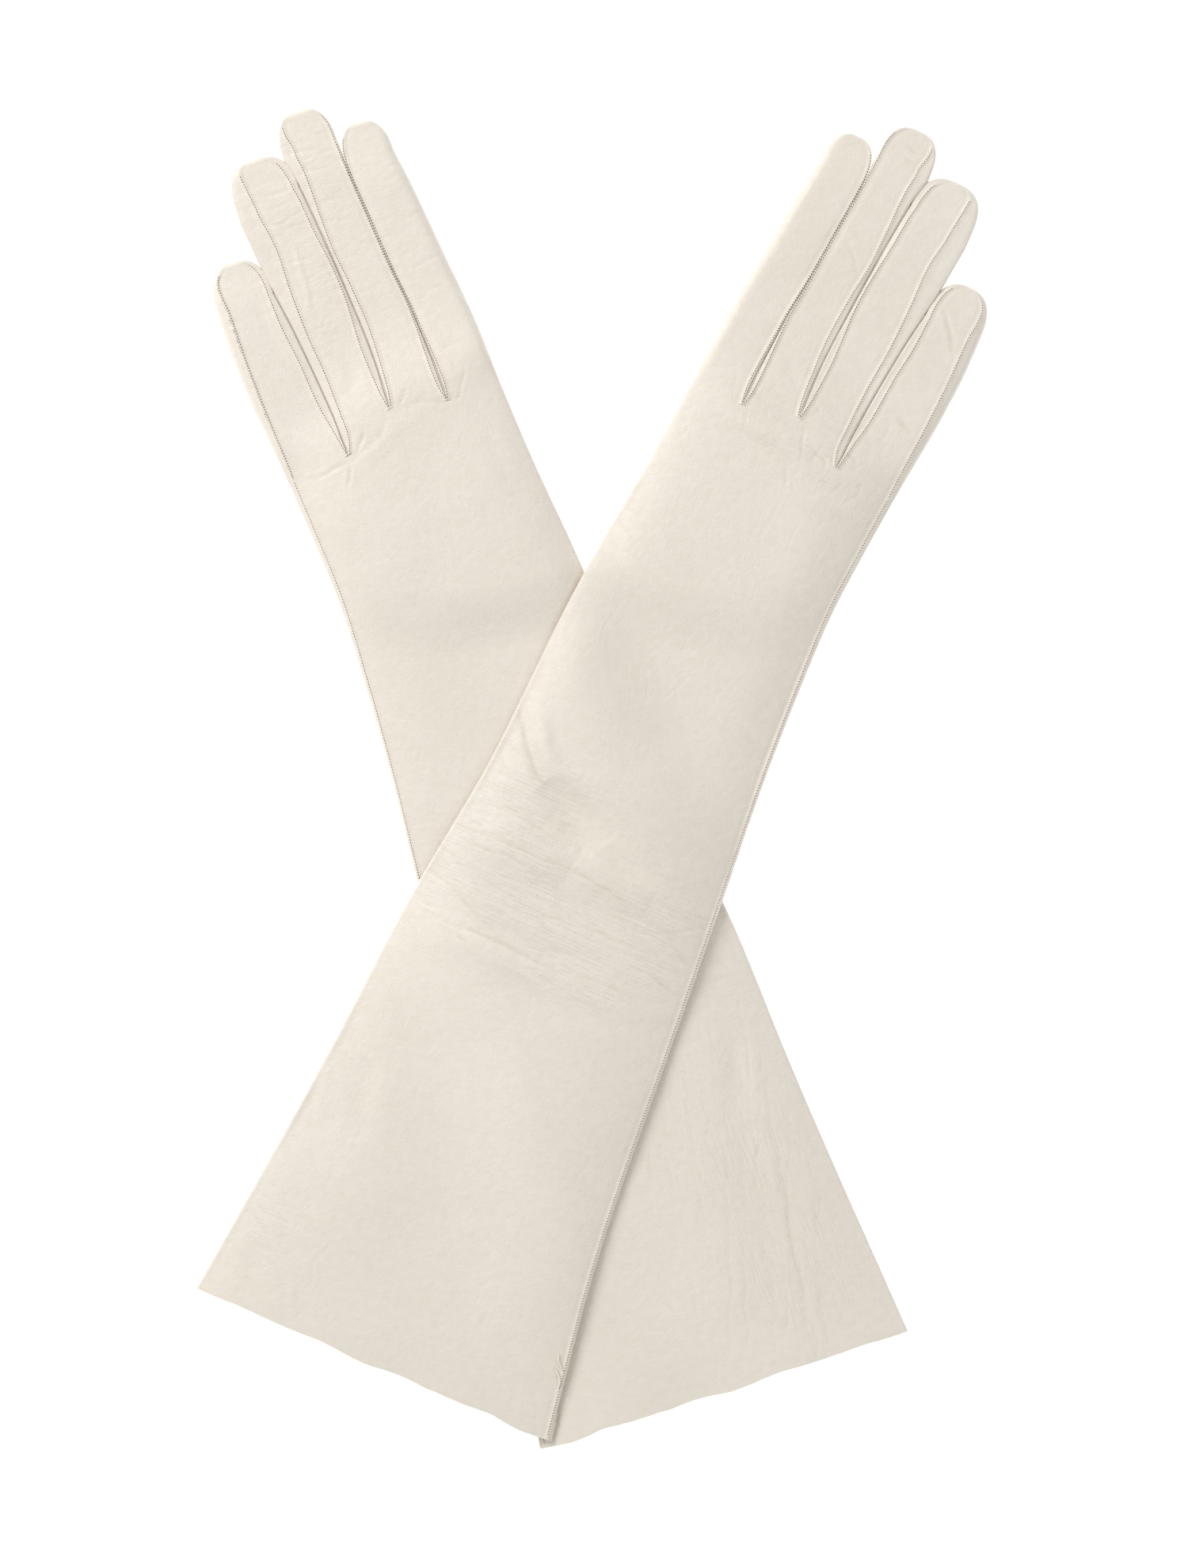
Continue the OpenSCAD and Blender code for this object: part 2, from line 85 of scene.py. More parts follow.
# How far in from a finger's side its seams run on the back, as [y, inset]
INNER_SEAM = {
    "middle": [[350.5, 0.2], [356, 1.3], [364, 1.6], [385, 0.6], [400, 0.5], [436, 0.5], [448, 0.8]],
    "ring": [[354, 0.2], [362, 1.8], [377, 2.8], [396, 1.3], [408, 1.3], [420, 1.9], [433, 2], [442, 2.8]],
    "little": [[343.5, 0.2], [350, 1.3], [362, 3], [380, 2.9], [392, 3.1], [404, 2], [414, 2]],
}
OUTER_SEAM = {
    "index": [[350.5, 0.2], [356, 0.9], [364, 0.9], [380, 0.5], [440, 0.4]],
    "middle": [
        [354, 0.3], [360, 1.2], [370, 1.6], [385, 2.2], [400, 1.9], [412, 1.4], [425, 2.2], [436, 3.3],
        [448, 4.5], [454, 2.7], [459, 0.6],
    ],
    "ring": [
        [343.5, 0.5], [349, 2.2], [358, 2.5], [372, 3.3], [388, 3.6], [403, 5.4], [417, 7.6], [428, 7.3],
        [441, 5.5], [448, 2],
    ],
    "little": [[341, 2], [361, 3], [383, 3.8], [402, 3.9], [414, 2]],
}
SIDE_SEAM_INSET = [[0, 1.2], [240, 1.2], [300, 1.6], [327, 1.8], [341, 2]]
# Palm seams, as shares of half a finger's width from its middle
PALM_OUTER = 0.9
PALM_INNER = -0.43

THUMB_PIVOT = (-26, 309.5)
THUMB_HOLE_RADIUS = 6.5
THUMB_REACH = 41.5
THUMB_BASE_Y = -9
THUMB_HEIGHT = 3.0
THUMB_TURN = math.radians(62)


def mix(a, b, t):
    return a + (b - a) * t


def ease(t):
    c = np.clip(t, 0, 1)
    return c * c * (3 - 2 * c)


def curve(key, points):
    """A smooth curve through [key, value] points, level outside them."""
    table = np.asarray(points, float)
    k, v = table[:, 0], table[:, 1]
    before, after = np.maximum(np.arange(len(k)) - 1, 0), np.minimum(np.arange(len(k)) + 1, len(k) - 1)
    slope = (v[after] - v[before]) / (k[after] - k[before])
    key = np.asarray(key, float)
    i = np.clip(np.searchsorted(k, key, side="right") - 1, 0, len(k) - 2)
    run = k[i + 1] - k[i]
    t = np.clip((key - k[i]) / run, 0, 1)
    return (
        v[i] * (2 * t**3 - 3 * t**2 + 1) + slope[i] * run * (t**3 - 2 * t**2 + t)
        + v[i + 1] * (3 * t**2 - 2 * t**3) + slope[i + 1] * run * (t**3 - t**2)
    )


def finger_line(x):
    return curve(x, FINGER_LINE)


def fold_edge(y):
    return curve(y, FOLD_EDGE)


def seam_edge(y):
    return curve(y, SEAM_EDGE)


def side_seam(y):
    return seam_edge(y) - curve(y, SIDE_SEAM_INSET)


def on_table(side, x, y):
    """The plan place of a glove's point in the shared frame, in millimetres."""
    c, s = math.cos(TILT[side]), math.sin(TILT[side])
    across, up = x * c + y * s, y * c - x * s
    cx, cy = CUFF_MIDDLE[side]
    return (cx + across, cy + up) if side == "right" else (cx - across, cy + up)


def on_glove(side, px, py):
    """The reverse of on_table."""
    c, s = math.cos(TILT[side]), math.sin(TILT[side])
    cx, cy = CUFF_MIDDLE[side]
    dx, dy = (px - cx, py - cy) if side == "right" else (cx - px, py - cy)
    return dx * c - dy * s, dx * s + dy * c


def place(side, points):
    """Points of a glove, in its own frame, as metres in the shared frame."""
    points = np.asarray(points, float)
    px, py = on_table(side, points[..., 0], points[..., 1])
    return np.stack([px, py, points[..., 2]], axis=-1) * MM


# ---------------------------------------------------------------- how thick the empty glove lies

PROP_HEIGHT = 3.4
PROP_FLAT, PROP_END = 44, 84
# The raised palm falls this many times faster towards the cuff
PROP_CUFFWARD = 1.8
EDGE_HEIGHT = 1.6
HAND_EDGE_HEIGHT = 2.2
FINGER_HEIGHT = 4.6
TUBE_HEIGHT = 6.6
# Height of a finger's side where it faces the next finger, as a share of its middle's
INNER_SHARE = 0.93
DRAPE_FLAT, DRAPE_END = 0.55, 1.35


def prop(x, y):
    """Height of the palm over the folded thumb."""
    dx = x - THUMB_PIVOT[0]
    dy = (y - THUMB_PIVOT[1]) * np.where(y < THUMB_PIVOT[1], PROP_CUFFWARD, 1)
    return PROP_HEIGHT * (1 - ease((np.hypot(dx, dy) - PROP_FLAT) / (PROP_END - PROP_FLAT)))


# The tube gets lower over the hand: from here, over this length, by this much
LOWER_FROM, LOWER_OVER, LOWER_BY = 310, 40, 0.8
# Air between the two gloves, and the width over which the upper one's cover fades out
DRAPE_AIR = 0.4
COVER_FADE = 6


def tube_height(y):
    return TUBE_HEIGHT - ease((y - LOWER_FROM) / LOWER_OVER) * LOWER_BY


def drape(x, y):
    """Height of the left glove under a point of the right one."""
    u, v = on_glove("left", *on_table("right", x, y))
    lo, hi = fold_edge(v), seam_edge(v)
    share = np.abs(2 * u - lo - hi) / (hi - lo)
    fall = np.clip((share - DRAPE_FLAT) / (DRAPE_END - DRAPE_FLAT), 0, 1)
    return (prop(u, v) + tube_height(v) + DRAPE_AIR) * np.cos(np.pi / 2 * fall) ** 2


def ground(side, x, y):
    return prop(x, y) + (drape(x, y) if side == "right" else 0)


def under_the_other(side, x, y):
    """1 where the left glove is covered by the right one, 0 in the open."""
    if side == "right":
        return np.zeros_like(x)
    u, v = on_glove("right", *on_table("left", x, y))
    inside = np.minimum(u - fold_edge(v), seam_edge(v) - u)
    return ease((inside + COVER_FADE / 2) / COVER_FADE)


# ---------------------------------------------------------------- creases and hollows of worn leather

def drift(x, y, size, seed):
    """Smooth random ground between -1 and 1, with hills about size millimetres apart."""
    n = 64
    heights = np.random.RandomState(seed).uniform(-1, 1, (n, n))
    u, v = x / size + 41.3, y / size + 17.9
    i, j = np.floor(u).astype(int), np.floor(v).astype(int)
    fu, fv = ease(u - i), ease(v - j)
    i, j = i % n, j % n
    a, b = heights[i, j], heights[(i + 1) % n, j]
    c, d = heights[i, (j + 1) % n], heights[(i + 1) % n, (j + 1) % n]
    return mix(mix(a, b, fu), mix(c, d, fu), fv)


# Creases drawn one by one: the points they run through, their width, and their height (a valley is
# below zero)
CREASES = {
    "right": [
        ([(-46, 226), (-39, 216), (-32, 208), (-24, 204)], 1.4, -0.7),
        ([(-43, 232), (-34, 220), (-24, 211), (-12, 208)], 3.0, 1.3),
        ([(-27, 205), (-14, 200), (0, 193)], 5.5, -2.1),
        ([(-6, 187), (6, 184), (22, 182)], 5.5, 1.6),
        ([(-40, 187), (-24, 182), (-8, 180)], 5.0, 0.9),
        ([(-8, 192), (8, 188), (27, 185), (42, 185)], 2.0, 0.5),
        ([(-5, 195), (12, 191), (30, 189)], 2.2, -0.4),
        ([(-49, 179), (-19, 182), (17, 180)], 0.9, -0.3),
        ([(-44, 149), (-25, 150), (-7, 149), (10, 150)], 1.0, -0.45),
        ([(4, 151), (22, 151), (40, 153)], 0.9, -0.3),
        ([(-48, 157), (-28, 155), (-4, 154), (20, 156)], 4.0, -0.9),
        ([(-46, 143), (-20, 144), (8, 144), (36, 146)], 4.0, 0.8),
        ([(-54, 164), (-36, 158), (-17, 151)], 0.8, -0.4),
        ([(-52, 171), (-30, 167), (-4, 165), (20, 167)], 1.0, -0.35),
        ([(-50, 190), (-30, 192), (-14, 190)], 1.2, -0.35),
        ([(27, 173), (36, 178), (43, 183)], 0.9, -0.4),
        ([(35, 173), (45, 167)], 0.9, -0.4),
        ([(30, 161), (38, 158), (45, 157)], 0.8, -0.4),
        ([(-24, 348), (-12, 345), (1, 344), (15, 340), (32, 339)], 2.4, 0.8),
        ([(-22, 343), (-10, 340), (2, 339), (16, 335), (30, 334)], 2.6, -0.6),
        ([(-18, 359), (-10, 352)], 1.0, -0.4),
        ([(5, 361), (9, 358)], 0.9, -0.4),
        ([(21, 351), (27, 347)], 0.9, -0.45),
        ([(10, 347), (16, 345), (18, 342)], 0.9, -0.45),
        ([(5, 352), (10, 341)], 0.8, -0.35),
        ([(5, 337), (8, 331)], 0.8, -0.3),
        ([(-7, 417), (-2, 412), (3, 405)], 0.8, -0.3),
        ([(-8, 388), (1, 388)], 1.0, -0.25),
        ([(-9, 369), (-2, 364)], 2.0, -0.45),
        ([(33, 408), (38, 402), (43, 395)], 1.2, -0.4),
        ([(33, 368), (41, 364)], 1.6, -0.4),
        ([(-1, 455), (6, 452)], 0.7, -0.4),
        ([(0, 451), (5, 449)], 0.7, -0.4),
        ([(-57, 89), (-54, 78), (-50, 69)], 2.4, 0.35),
        ([(-46, 95), (-41, 82), (-35, 69)], 4.5, -0.9),
        ([(-63, 31), (-57, 29), (-50, 25)], 0.9, -0.4),
        ([(-62, 36), (-56, 33), (-52, 30)], 0.8, -0.3),
        ([(-50, 33), (-46, 32)], 0.7, -0.3),
        ([(-53, 22), (-43, 21)], 0.8, -0.3),
        ([(-55, 22), (-51, 14), (-46, 5)], 3.5, -0.45),
        ([(-38, 15), (-35, 10), (-32, 4)], 1.8, 0.35),
        ([(-22, 98), (-18, 90), (-14, 81)], 0.7, -0.22),
        ([(8, 37), (6, 31)], 0.8, -0.25),
        ([(27, 34), (27, 25)], 0.8, -0.22),
        ([(28, 95), (36, 95), (43, 96)], 0.8, -0.25),
    ],
    "left": [
        ([(21, 341), (15, 343), (10, 346), (3, 352)], 1.2, -0.25),
        ([(1, 353), (-7, 353), (-15, 351), (-24, 351)], 1.1, -0.22),
        ([(22, 338), (12, 342), (2, 348), (-10, 348)], 2.4, 0.25),
        ([(21, 341), (27, 341), (38, 339)], 0.9, -0.35),
        ([(21, 340), (25, 332)], 0.8, -0.4),
        ([(-25, 347), (-27, 333), (-29, 320), (-31, 311)], 2.4, -0.35),
        ([(0, 354), (-5, 360)], 0.8, -0.4),
        ([(-19, 349), (-24, 355), (-26, 360)], 0.9, -0.4),
        ([(19, 342), (15, 347), (13, 351)], 0.9, -0.4),
        ([(-12, 356), (-6, 354)], 0.8, -0.35),
        ([(-41, 432), (-30, 431), (-20, 433)], 0.7, -0.3),
        ([(-37, 417), (-30, 415), (-22, 414)], 0.7, -0.3),
        ([(-33, 400), (-26, 399), (-18, 397)], 0.7, -0.25),
        ([(7, 447), (-4, 446)], 0.6, -0.3),
        ([(6, 440), (-5, 439)], 0.6, -0.32),
        ([(6, 429), (-4, 428)], 0.6, -0.28),
        ([(4, 422), (-6, 420)], 0.6, -0.28),
        ([(4, 409), (-6, 407)], 0.7, -0.28),
        ([(2, 396), (-8, 395)], 0.7, -0.28),
        ([(19, 426), (8, 428)], 0.7, -0.3),
        ([(22, 413), (11, 411)], 0.7, -0.3),
        ([(22, 389), (10, 388)], 0.7, -0.3),
        ([(16, 417), (17, 405), (18, 394)], 1.1, 0.35),
        ([(12, 378), (12, 371), (12, 364)], 2.2, -0.45),
        ([(36, 405), (34, 395), (31, 384)], 2.4, -0.45),
        ([(-50, 124), (-45, 87), (-41, 60), (-38, 41), (-37, 27), (-34, 1)], 1.4, -0.22),
        ([(-46, 110), (-41, 80), (-37, 55), (-33, 30), (-30, 1)], 2.6, 0.35),
        ([(-27, 76), (-17, 48), (-14, 35), (-2, 2)], 1.1, -0.2),
        ([(-26, 65), (-18, 33), (-9, 1)], 1.0, -0.2),
        ([(-49, 152), (-55, 149), (-60, 146)], 0.8, -0.3),
        ([(-39, 126), (-46, 127), (-53, 126)], 0.8, -0.3),
        ([(-42, 121), (-39, 106), (-36, 90)], 4.0, -0.8),
    ],
}
# Broad soft forms: middle x and y, half sizes across and along, turn in degrees, height
SOFT_FORMS = {
    "right": [
        (-14, 200, 18, 8, -22, -1.3), (14, 214, 26, 14, -10, 1.0), (-44, 205, 8, 34, 0, -0.5),
        (36, 270, 8, 40, 4, -0.7), (-34, 262, 8, 40, -3, 0.45), (2, 300, 26, 26, 0, -0.5),
        (-48, 70, 10, 40, 8, -0.6), (20, 120, 24, 30, 0, 0.4), (-6, 40, 26, 24, 0, -0.4),
        (-20, 168, 30, 9, 4, -1.0), (34, 30, 12, 30, 0, 0.35),
    ],
    "left": [
        (-4, 300, 24, 30, 0, -0.5), (-32, 290, 8, 50, 0, 0.35), (34, 300, 7, 40, 0, 0.3),
        (8, 250, 18, 30, 0, -0.3), (-38, 92, 9, 42, 10, -0.6), (-14, 60, 12, 50, 12, 0.4),
    ],
}
# Fields of fine creases: seed, how many, x from and to, y from and to, direction in degrees and its
# spread, length from and to, width, depth from and to
CREASE_FIELDS = {
    "right": [
        (3, 130, (-50, 46), (142, 198), 0, 5, (10, 40), 0.42, (0.05, 0.16)),
        (4, 30, (-50, 40), (196, 228), -18, 16, (8, 24), 0.45, (0.04, 0.12)),
        (5, 30, (-62, 60), (4, 110), 20, 70, (6, 18), 0.45, (0.03, 0.09)),
        (6, 36, (-44, 40), (228, 338), 70, 50, (6, 22), 0.45, (0.03, 0.08)),
        (7, 34, (-26, 34), (334, 362), 75, 35, (4, 10), 0.42, (0.05, 0.13)),
        (8, 60, (-30, 46), (360, 448), 4, 30, (4, 10), 0.4, (0.03, 0.09)),
    ],
    "left": [
        (13, 70, (-52, 4), (2, 128), 106, 8, (12, 46), 0.42, (0.05, 0.15)),
        (14, 20, (-60, -38), (112, 166), 0, 20, (6, 14), 0.45, (0.05, 0.12)),
        (15, 30, (-42, 40), (228, 338), 80, 50, (6, 24), 0.45, (0.03, 0.08)),
        (16, 34, (-30, 38), (336, 362), 70, 40, (4, 10), 0.42, (0.05, 0.13)),
        (17, 80, (-8, 24), (364, 452), 4, 18, (4, 11), 0.4, (0.05, 0.14)),
        (18, 34, (-36, -12), (366, 440), 2, 16, (5, 14), 0.4, (0.05, 0.12)),
        (19, 24, (24, 46), (352, 410), 60, 40, (4, 10), 0.42, (0.04, 0.1)),
    ],
}


# Where the skin is finely crept, across the glove and along it: middle x and y, half sizes, amount
CREPED = {
    ("right", "across"): [
        (-2, 168, 62, 34, 1.0), (-24, 210, 30, 18, 0.7), (4, 347, 40, 14, 0.5), (6, 405, 60, 52, 0.3),
        (-52, 26, 18, 18, 0.5),
    ],
    ("right", "along"): [(-44, 80, 14, 60, 0.45), (10, 320, 40, 40, 0.35), (36, 60, 26, 60, 0.3)],
    ("left", "across"): [
        (-50, 140, 18, 34, 0.7), (-26, 405, 18, 52, 0.35), (0, 410, 14, 50, 0.42), (14, 400, 12, 50, 0.28),
        (0, 348, 42, 12, 0.3),
    ],
    ("left", "along"): [(-32, 62, 32, 72, 0.8), (36, 375, 14, 40, 0.5), (0, 320, 44, 40, 0.3)],
}
# Creases wider than this are soft folds, which get no painted shade in the colour
WIDE_CREASE = 1.9


def creping(side, way, x, y):
    """How finely crept the skin is, from 0 to 1."""
    amount = np.full_like(x, 0.08)
    for cx, cy, rx, ry, most in CREPED[side, way]:
        amount += most * np.exp(-((((x - cx) / rx) ** 2 + ((y - cy) / ry) ** 2) ** 2))
    return np.clip(amount * (0.75 + 0.5 * drift(x, y, 11, 91)), 0, 1)


def smooth_path(points, steps):
    at = np.arange(len(points))
    t = np.linspace(0, len(points) - 1, steps)
    return np.stack([curve(t, np.stack([at, [p[axis] for p in points]], 1)) for axis in (0, 1)], 1)


def press_crease(x, y, height, points, width, depth):
    """Adds one crease to height. It dies away at both ends and throws up a low rim on each side."""
    path = smooth_path(points, max(6, 4 * len(points)))
    margin = 4.5 * width
    low, high = path.min(0) - margin, path.max(0) + margin
    near = (x > low[0]) & (x < high[0]) & (y > low[1]) & (y < high[1])
    if not near.any():
        return
    px, py = x[near][:, None], y[near][:, None]
    a, b = path[:-1], path[1:]
    run = b - a
    t = ((px - a[:, 0]) * run[:, 0] + (py - a[:, 1]) * run[:, 1]) / (run**2).sum(1)
    t = np.clip(t, 0, 1)
    gap = np.hypot(px - a[:, 0] - t * run[:, 0], py - a[:, 1] - t * run[:, 1])
    best = gap.argmin(1)
    rows = np.arange(len(best))
    gap, along = gap[rows, best] / width, (best + t[rows, best]) / len(run)
    taper = np.sin(np.pi * np.clip(along, 0, 1)) ** 0.6
    height[near] += depth * taper * (np.exp(-gap**2) - 0.3 * np.exp(-((gap - 2) ** 2)))


def relief(side, x, y):
    """How far the leather of the back rises above its plain shape, in millimetres."""
    seed = 100 if side == "right" else 200
    height = 0.32 * drift(x, y, 38, seed) + 0.17 * drift(x, y, 17, seed + 1) + 0.05 * drift(x, y, 7, seed + 2)
    wx = x + 0.9 * drift(x, y, 8, seed + 3) + 0.3 * drift(x, y, 2.6, seed + 4)
    wy = y + 0.9 * drift(x, y, 8, seed + 5) + 0.3 * drift(x, y, 2.6, seed + 6)
    for cx, cy, rx, ry, turn, rise in SOFT_FORMS[side]:
        c, s = math.cos(math.radians(turn)), math.sin(math.radians(turn))
        u, v = ((wx - cx) * c + (wy - cy) * s) / rx, ((wy - cy) * c - (wx - cx) * s) / ry
        height += rise * np.exp(-(u**2 + v**2))
    # Sharp creases go into the height and, through sharp, into painted shade in the colour
    sharp = np.zeros_like(height)
    for points, width, depth in CREASES[side]:
        wide = width > WIDE_CREASE
        press_crease(wx, wy, height if wide else sharp, points, width * (1 if wide else 0.7), depth * 0.6)
    for seed, count, across, up, turn, spread, length, width, depth in CREASE_FIELDS[side]:
        chance = np.random.RandomState(seed)
        for _ in range(count):
            cx, cy = chance.uniform(*across), chance.uniform(*up)
            half = chance.uniform(*length) / 2
            angle = math.radians(turn + chance.uniform(-spread, spread))
            bow = chance.uniform(-0.12, 0.12) * half
            dx, dy = math.cos(angle), math.sin(angle)
            ends = [(cx + way * half * dx, cy + way * half * dy) for way in (-1, 1)]
            points = [ends[0], (cx - bow * dy, cy + bow * dx), ends[1]]
            press_crease(wx, wy, sharp, points, width * chance.uniform(0.8, 1.3), -chance.uniform(*depth))
    open_air = 1 - 0.85 * under_the_other(side, x, y)
    return (height + sharp) * open_air, sharp


# ---------------------------------------------------------------- cross sections

def round_over(inside, radius):
    """0 at an edge, 1 from radius inwards, along a quarter of a circle."""
    t = np.clip(inside / radius, 0, 1)
    return np.sqrt(np.maximum(1 - (1 - t) ** 2, 0))


def hand_thickness(x, y):
    lo, hi = fold_edge(y), seam_edge(y)
    u = np.clip(np.abs(2 * x - lo - hi) / (hi - lo), 0, 1)
    edge = mix(EDGE_HEIGHT, HAND_EDGE_HEIGHT, np.clip((y - WRIST_Y) / 50, 0, 1))
    return edge + (tube_height(y) - edge) * (1 - u**4), edge


def tube_faces(x, y):
    """Height of the back and of the underside of the arm and hand, and the way in from the edge."""
    thick, edge = hand_thickness(x, y)
    inside = np.minimum(x - fold_edge(y), seam_edge(y) - x)
    swell = round_over(inside, edge / 2)
    return thick / 2 * (1 + swell), thick / 2 * (1 - swell), inside


GAPS = {
    "index": (FOLD_EDGE, INDEX_MIDDLE_GAP), "middle": (INDEX_MIDDLE_GAP, MIDDLE_RING_GAP),
    "ring": (MIDDLE_RING_GAP, RING_LITTLE_GAP), "little": (RING_LITTLE_GAP, SEAM_EDGE),
}
# How square a fingertip is: 2 would be an ellipse
TIP_BLUNTNESS = 2.6
# Radius of the shoulder between a finger's back and its side, by the way along from the crotch
SHOULDER = [[0, 0.25], [3, 0.3], [9, 0.4], [20, 0.42], [80, 0.45], [110, 0.6]]
HALF_GAP = [[0, 0.02], [4, 0.08], [20, 0.05], [110, 0.05]]
# The hand's section ends at HAND_END and becomes a finger's over HAND_TO_FINGER
HAND_END, HAND_TO_FINGER = 354, 18
CROTCH_EDGE_HEIGHT = 3.4
# How flat a finger's back is before it falls to its sides
FINGER_FLATNESS = 8
TIP_ROUNDING = 1.8


def finger_sides(name, y):
    """x of a finger's two sides, drawn together at its tip."""
    base, tip, rounding = SPAN[name]
    held = np.minimum(y, rounding)
    lo, hi = curve(held, GAPS[name][0]), curve(held, GAPS[name][1])
    lo = lo + (0 if name == "index" else curve(held - base, HALF_GAP))
    hi = hi - (0 if name == "little" else curve(held - base, HALF_GAP))
    t = np.clip((y - rounding) / (tip - rounding), 0, 0.9995)
    k = (1 - t**TIP_BLUNTNESS) ** (1 / TIP_BLUNTNESS)
    return (lo + hi) / 2 - (hi - lo) / 2 * k, (lo + hi) / 2 + (hi - lo) / 2 * k


def inner_seam(name, y):
    lo, hi = finger_sides(name, y)
    return lo + np.minimum(curve(y, INNER_SEAM[name]), 0.3 * (hi - lo))


def outer_seam(name, y):
    lo, hi = finger_sides(name, y)
    return hi - np.minimum(curve(y, OUTER_SEAM[name]), 0.36 * (hi - lo))


def palm_seam(name, share, y):
    lo, hi = finger_sides(name, y)
    return (lo + hi) / 2 + (hi - lo) / 2 * share


def finger_faces(name, x, y):
    base, tip = SPAN[name][:2]
    lo, hi = finger_sides(name, y)
    half = np.maximum((hi - lo) / 2, 0.01)
    u = np.clip(np.abs(x - (lo + hi) / 2) / half, 0, 1)
    f = np.clip((y - base) / (tip - base), 0, 1)
    rise = mix(tube_height(350), FINGER_HEIGHT, ease(f * 4)) - ease((f - 0.75) / 0.25)
    edge = mix(CROTCH_EDGE_HEIGHT, EDGE_HEIGHT, ease(f * 5))
    since = y - finger_line(x)
    outer = x < (lo + hi) / 2 if name == "index" else x > (lo + hi) / 2 if name == "little" else x != x
    side_height = np.where(outer, edge, np.maximum(edge, INNER_SHARE * rise))
    own = side_height + (rise - side_height) * (1 - u**FINGER_FLATNESS)
    hand, hand_edge = hand_thickness(x, np.minimum(y, HAND_END))
    turned = ease(since / HAND_TO_FINGER)
    thick = mix(hand, own, turned)
    shoulder = curve(since, SHOULDER)
    outside = mix(hand_edge, edge, turned) / 2
    from_lo = round_over(x - lo, outside if name == "index" else shoulder)
    from_hi = round_over(hi - x, outside if name == "little" else shoulder)
    end = round_over(tip - y, TIP_ROUNDING)
    swell = np.minimum(from_lo, from_hi) * end
    return thick / 2 * (1 + swell), thick / 2 * (1 - swell), np.minimum(x - lo, hi - x)


# ---------------------------------------------------------------- leather sheets

# Distances between columns of points next to a rolled edge, and next to a seam
AT_EDGE = [0, 0.02, 0.08, 0.18, 0.32, 0.5, 0.72, 1.0, 1.4, 2.0]
AT_SEAM = [0, 0.12, 0.25, 0.4, 0.6, 0.85, 1.15, 1.6, 2.2]
SEAM_RIDGE = 0.24
PALM_GROOVE = -0.3


def stations(run, head, tail, count):
    """Shares across a strip run millimetres wide, one row for each run, closer together at its ends."""
    head, tail = np.array(head), np.array(tail)
    run = np.maximum(run, 0.01)[:, None]
    k = np.minimum(1, run / (1.6 * (head[-1] + tail[-1])))
    first, last = head * k, run - tail[::-1] * k
    t = np.arange(1, count + 1) / (count + 1)
    return np.hstack([first, mix(first[:, -1:], last[:, :1], t), last]) / run


def lay_out(walk, drawn, settle):
    """Columns of a sheet: walk is a list of (is it the back, x from, x to, head, tail, columns between)."""
    xs, ys, backs = [], [], []
    for number, (back, start, stop, head, tail, count) in enumerate(walk):
        share = stations(np.abs(stop(drawn) - start(drawn)), head, tail, count)
        if number:
            share = share[:, 1:]
        y = np.repeat(drawn[:, None], share.shape[1], 1)
        for _ in range(5):
            x = mix(start(y), stop(y), share)
            y = settle(x)
        x = mix(start(y), stop(y), share)
        xs.append(x)
        ys.append(y)
        backs.append(np.full(share.shape[1], back))
    return np.hstack(xs), np.hstack(ys), np.concatenate(backs)


def grid_normals(points):
    across, along = np.gradient(points, axis=1), np.gradient(points, axis=0)
    n = np.cross(across, along)
    return n / np.maximum(np.linalg.norm(n, axis=-1, keepdims=True), 1e-9)


def raise_sheet(side, x, y, is_back, faces, ridges, tip_fade=1.0):
    """Points and normals of a sheet's outer face, and the crease and seam depths that paint shade into its
    colour.
    """
    top, bottom, inside = faces(x, y)
    back = is_back[None, :] > 0
    lift, sharp = relief(side, x, y)
    fade = ease(inside / 2.6)
    under = 0.15 * np.abs(drift(x, y, 9, 71)) * fade
    z = np.where(back, top + np.maximum(lift * fade, 0.8 - top), bottom + under) + ground(side, x, y)
    points = np.stack([x, y, z], -1)
    step = np.linalg.norm(np.diff(points, axis=1), axis=-1)
    arc = np.hstack([np.zeros((len(x), 1)), np.cumsum(step, 1)])
    total = arc[:, -1:]
    pucker = 1 + 0.3 * drift(y, x * 0, 1.5, 72)
    covered = 1 - 0.8 * under_the_other(side, x, y)
    rise, seam_groove_shade = np.zeros_like(x), np.zeros_like(x)
    for from_seam, height in ((arc, ridges[0]), (total - arc, ridges[1])):
        if height:
            wave = 0.10 * drift(y, x * 0, 1.9, 73) * np.exp(-from_seam / 2.2) * (height > 0)
            shape = height * (np.exp(-((from_seam / 0.55) ** 2)) - 0.5 * np.exp(-((from_seam / 0.2) ** 2)))
            dip = 0.10 * np.exp(-(((from_seam - 1.4) / 0.5) ** 2)) * (height > 0)
            # Painted shade: a thin dark line down each seam, carried into the colour by the crease attribute
            seam_groove_shade -= 0.4 * np.exp(-((from_seam / 0.12) ** 2))
            rise += (shape * pucker + wave - dip) * np.minimum(1, total / 3) * covered
    points = points + grid_normals(points) * (rise * tip_fade)[..., None]
    return points, grid_normals(points), np.where(back, sharp, 0) + seam_groove_shade


def make_mesh(name, points, quads, materials, which=None, side="right"):
    """A mesh of four-sided faces, points in metres. The left glove is mirrored, so its faces turn."""
    mesh = bpy.data.meshes.new(name)
    if side == "left":
        quads = quads[:, ::-1]
    mesh.vertices.add(len(points))
    mesh.vertices.foreach_set("co", points.astype(np.float32).ravel())
    mesh.loops.add(4 * len(quads))
    mesh.loops.foreach_set("vertex_index", quads.astype(np.int32).ravel())
    mesh.polygons.add(len(quads))
    mesh.polygons.foreach_set("loop_start", np.arange(0, 4 * len(quads), 4, dtype=np.int32))
    mesh.polygons.foreach_set("loop_total", np.full(len(quads), 4, dtype=np.int32))
    for material in materials:
        mesh.materials.append(material)
    if which is not None:
        mesh.polygons.foreach_set("material_index", which.astype(np.int32))
    mesh.polygons.foreach_set("use_smooth", np.ones(len(quads), dtype=bool))
    mesh.update(calc_edges=True)
    thing = bpy.data.objects.new(name, mesh)
    bpy.context.scene.collection.objects.link(thing)
    return thing


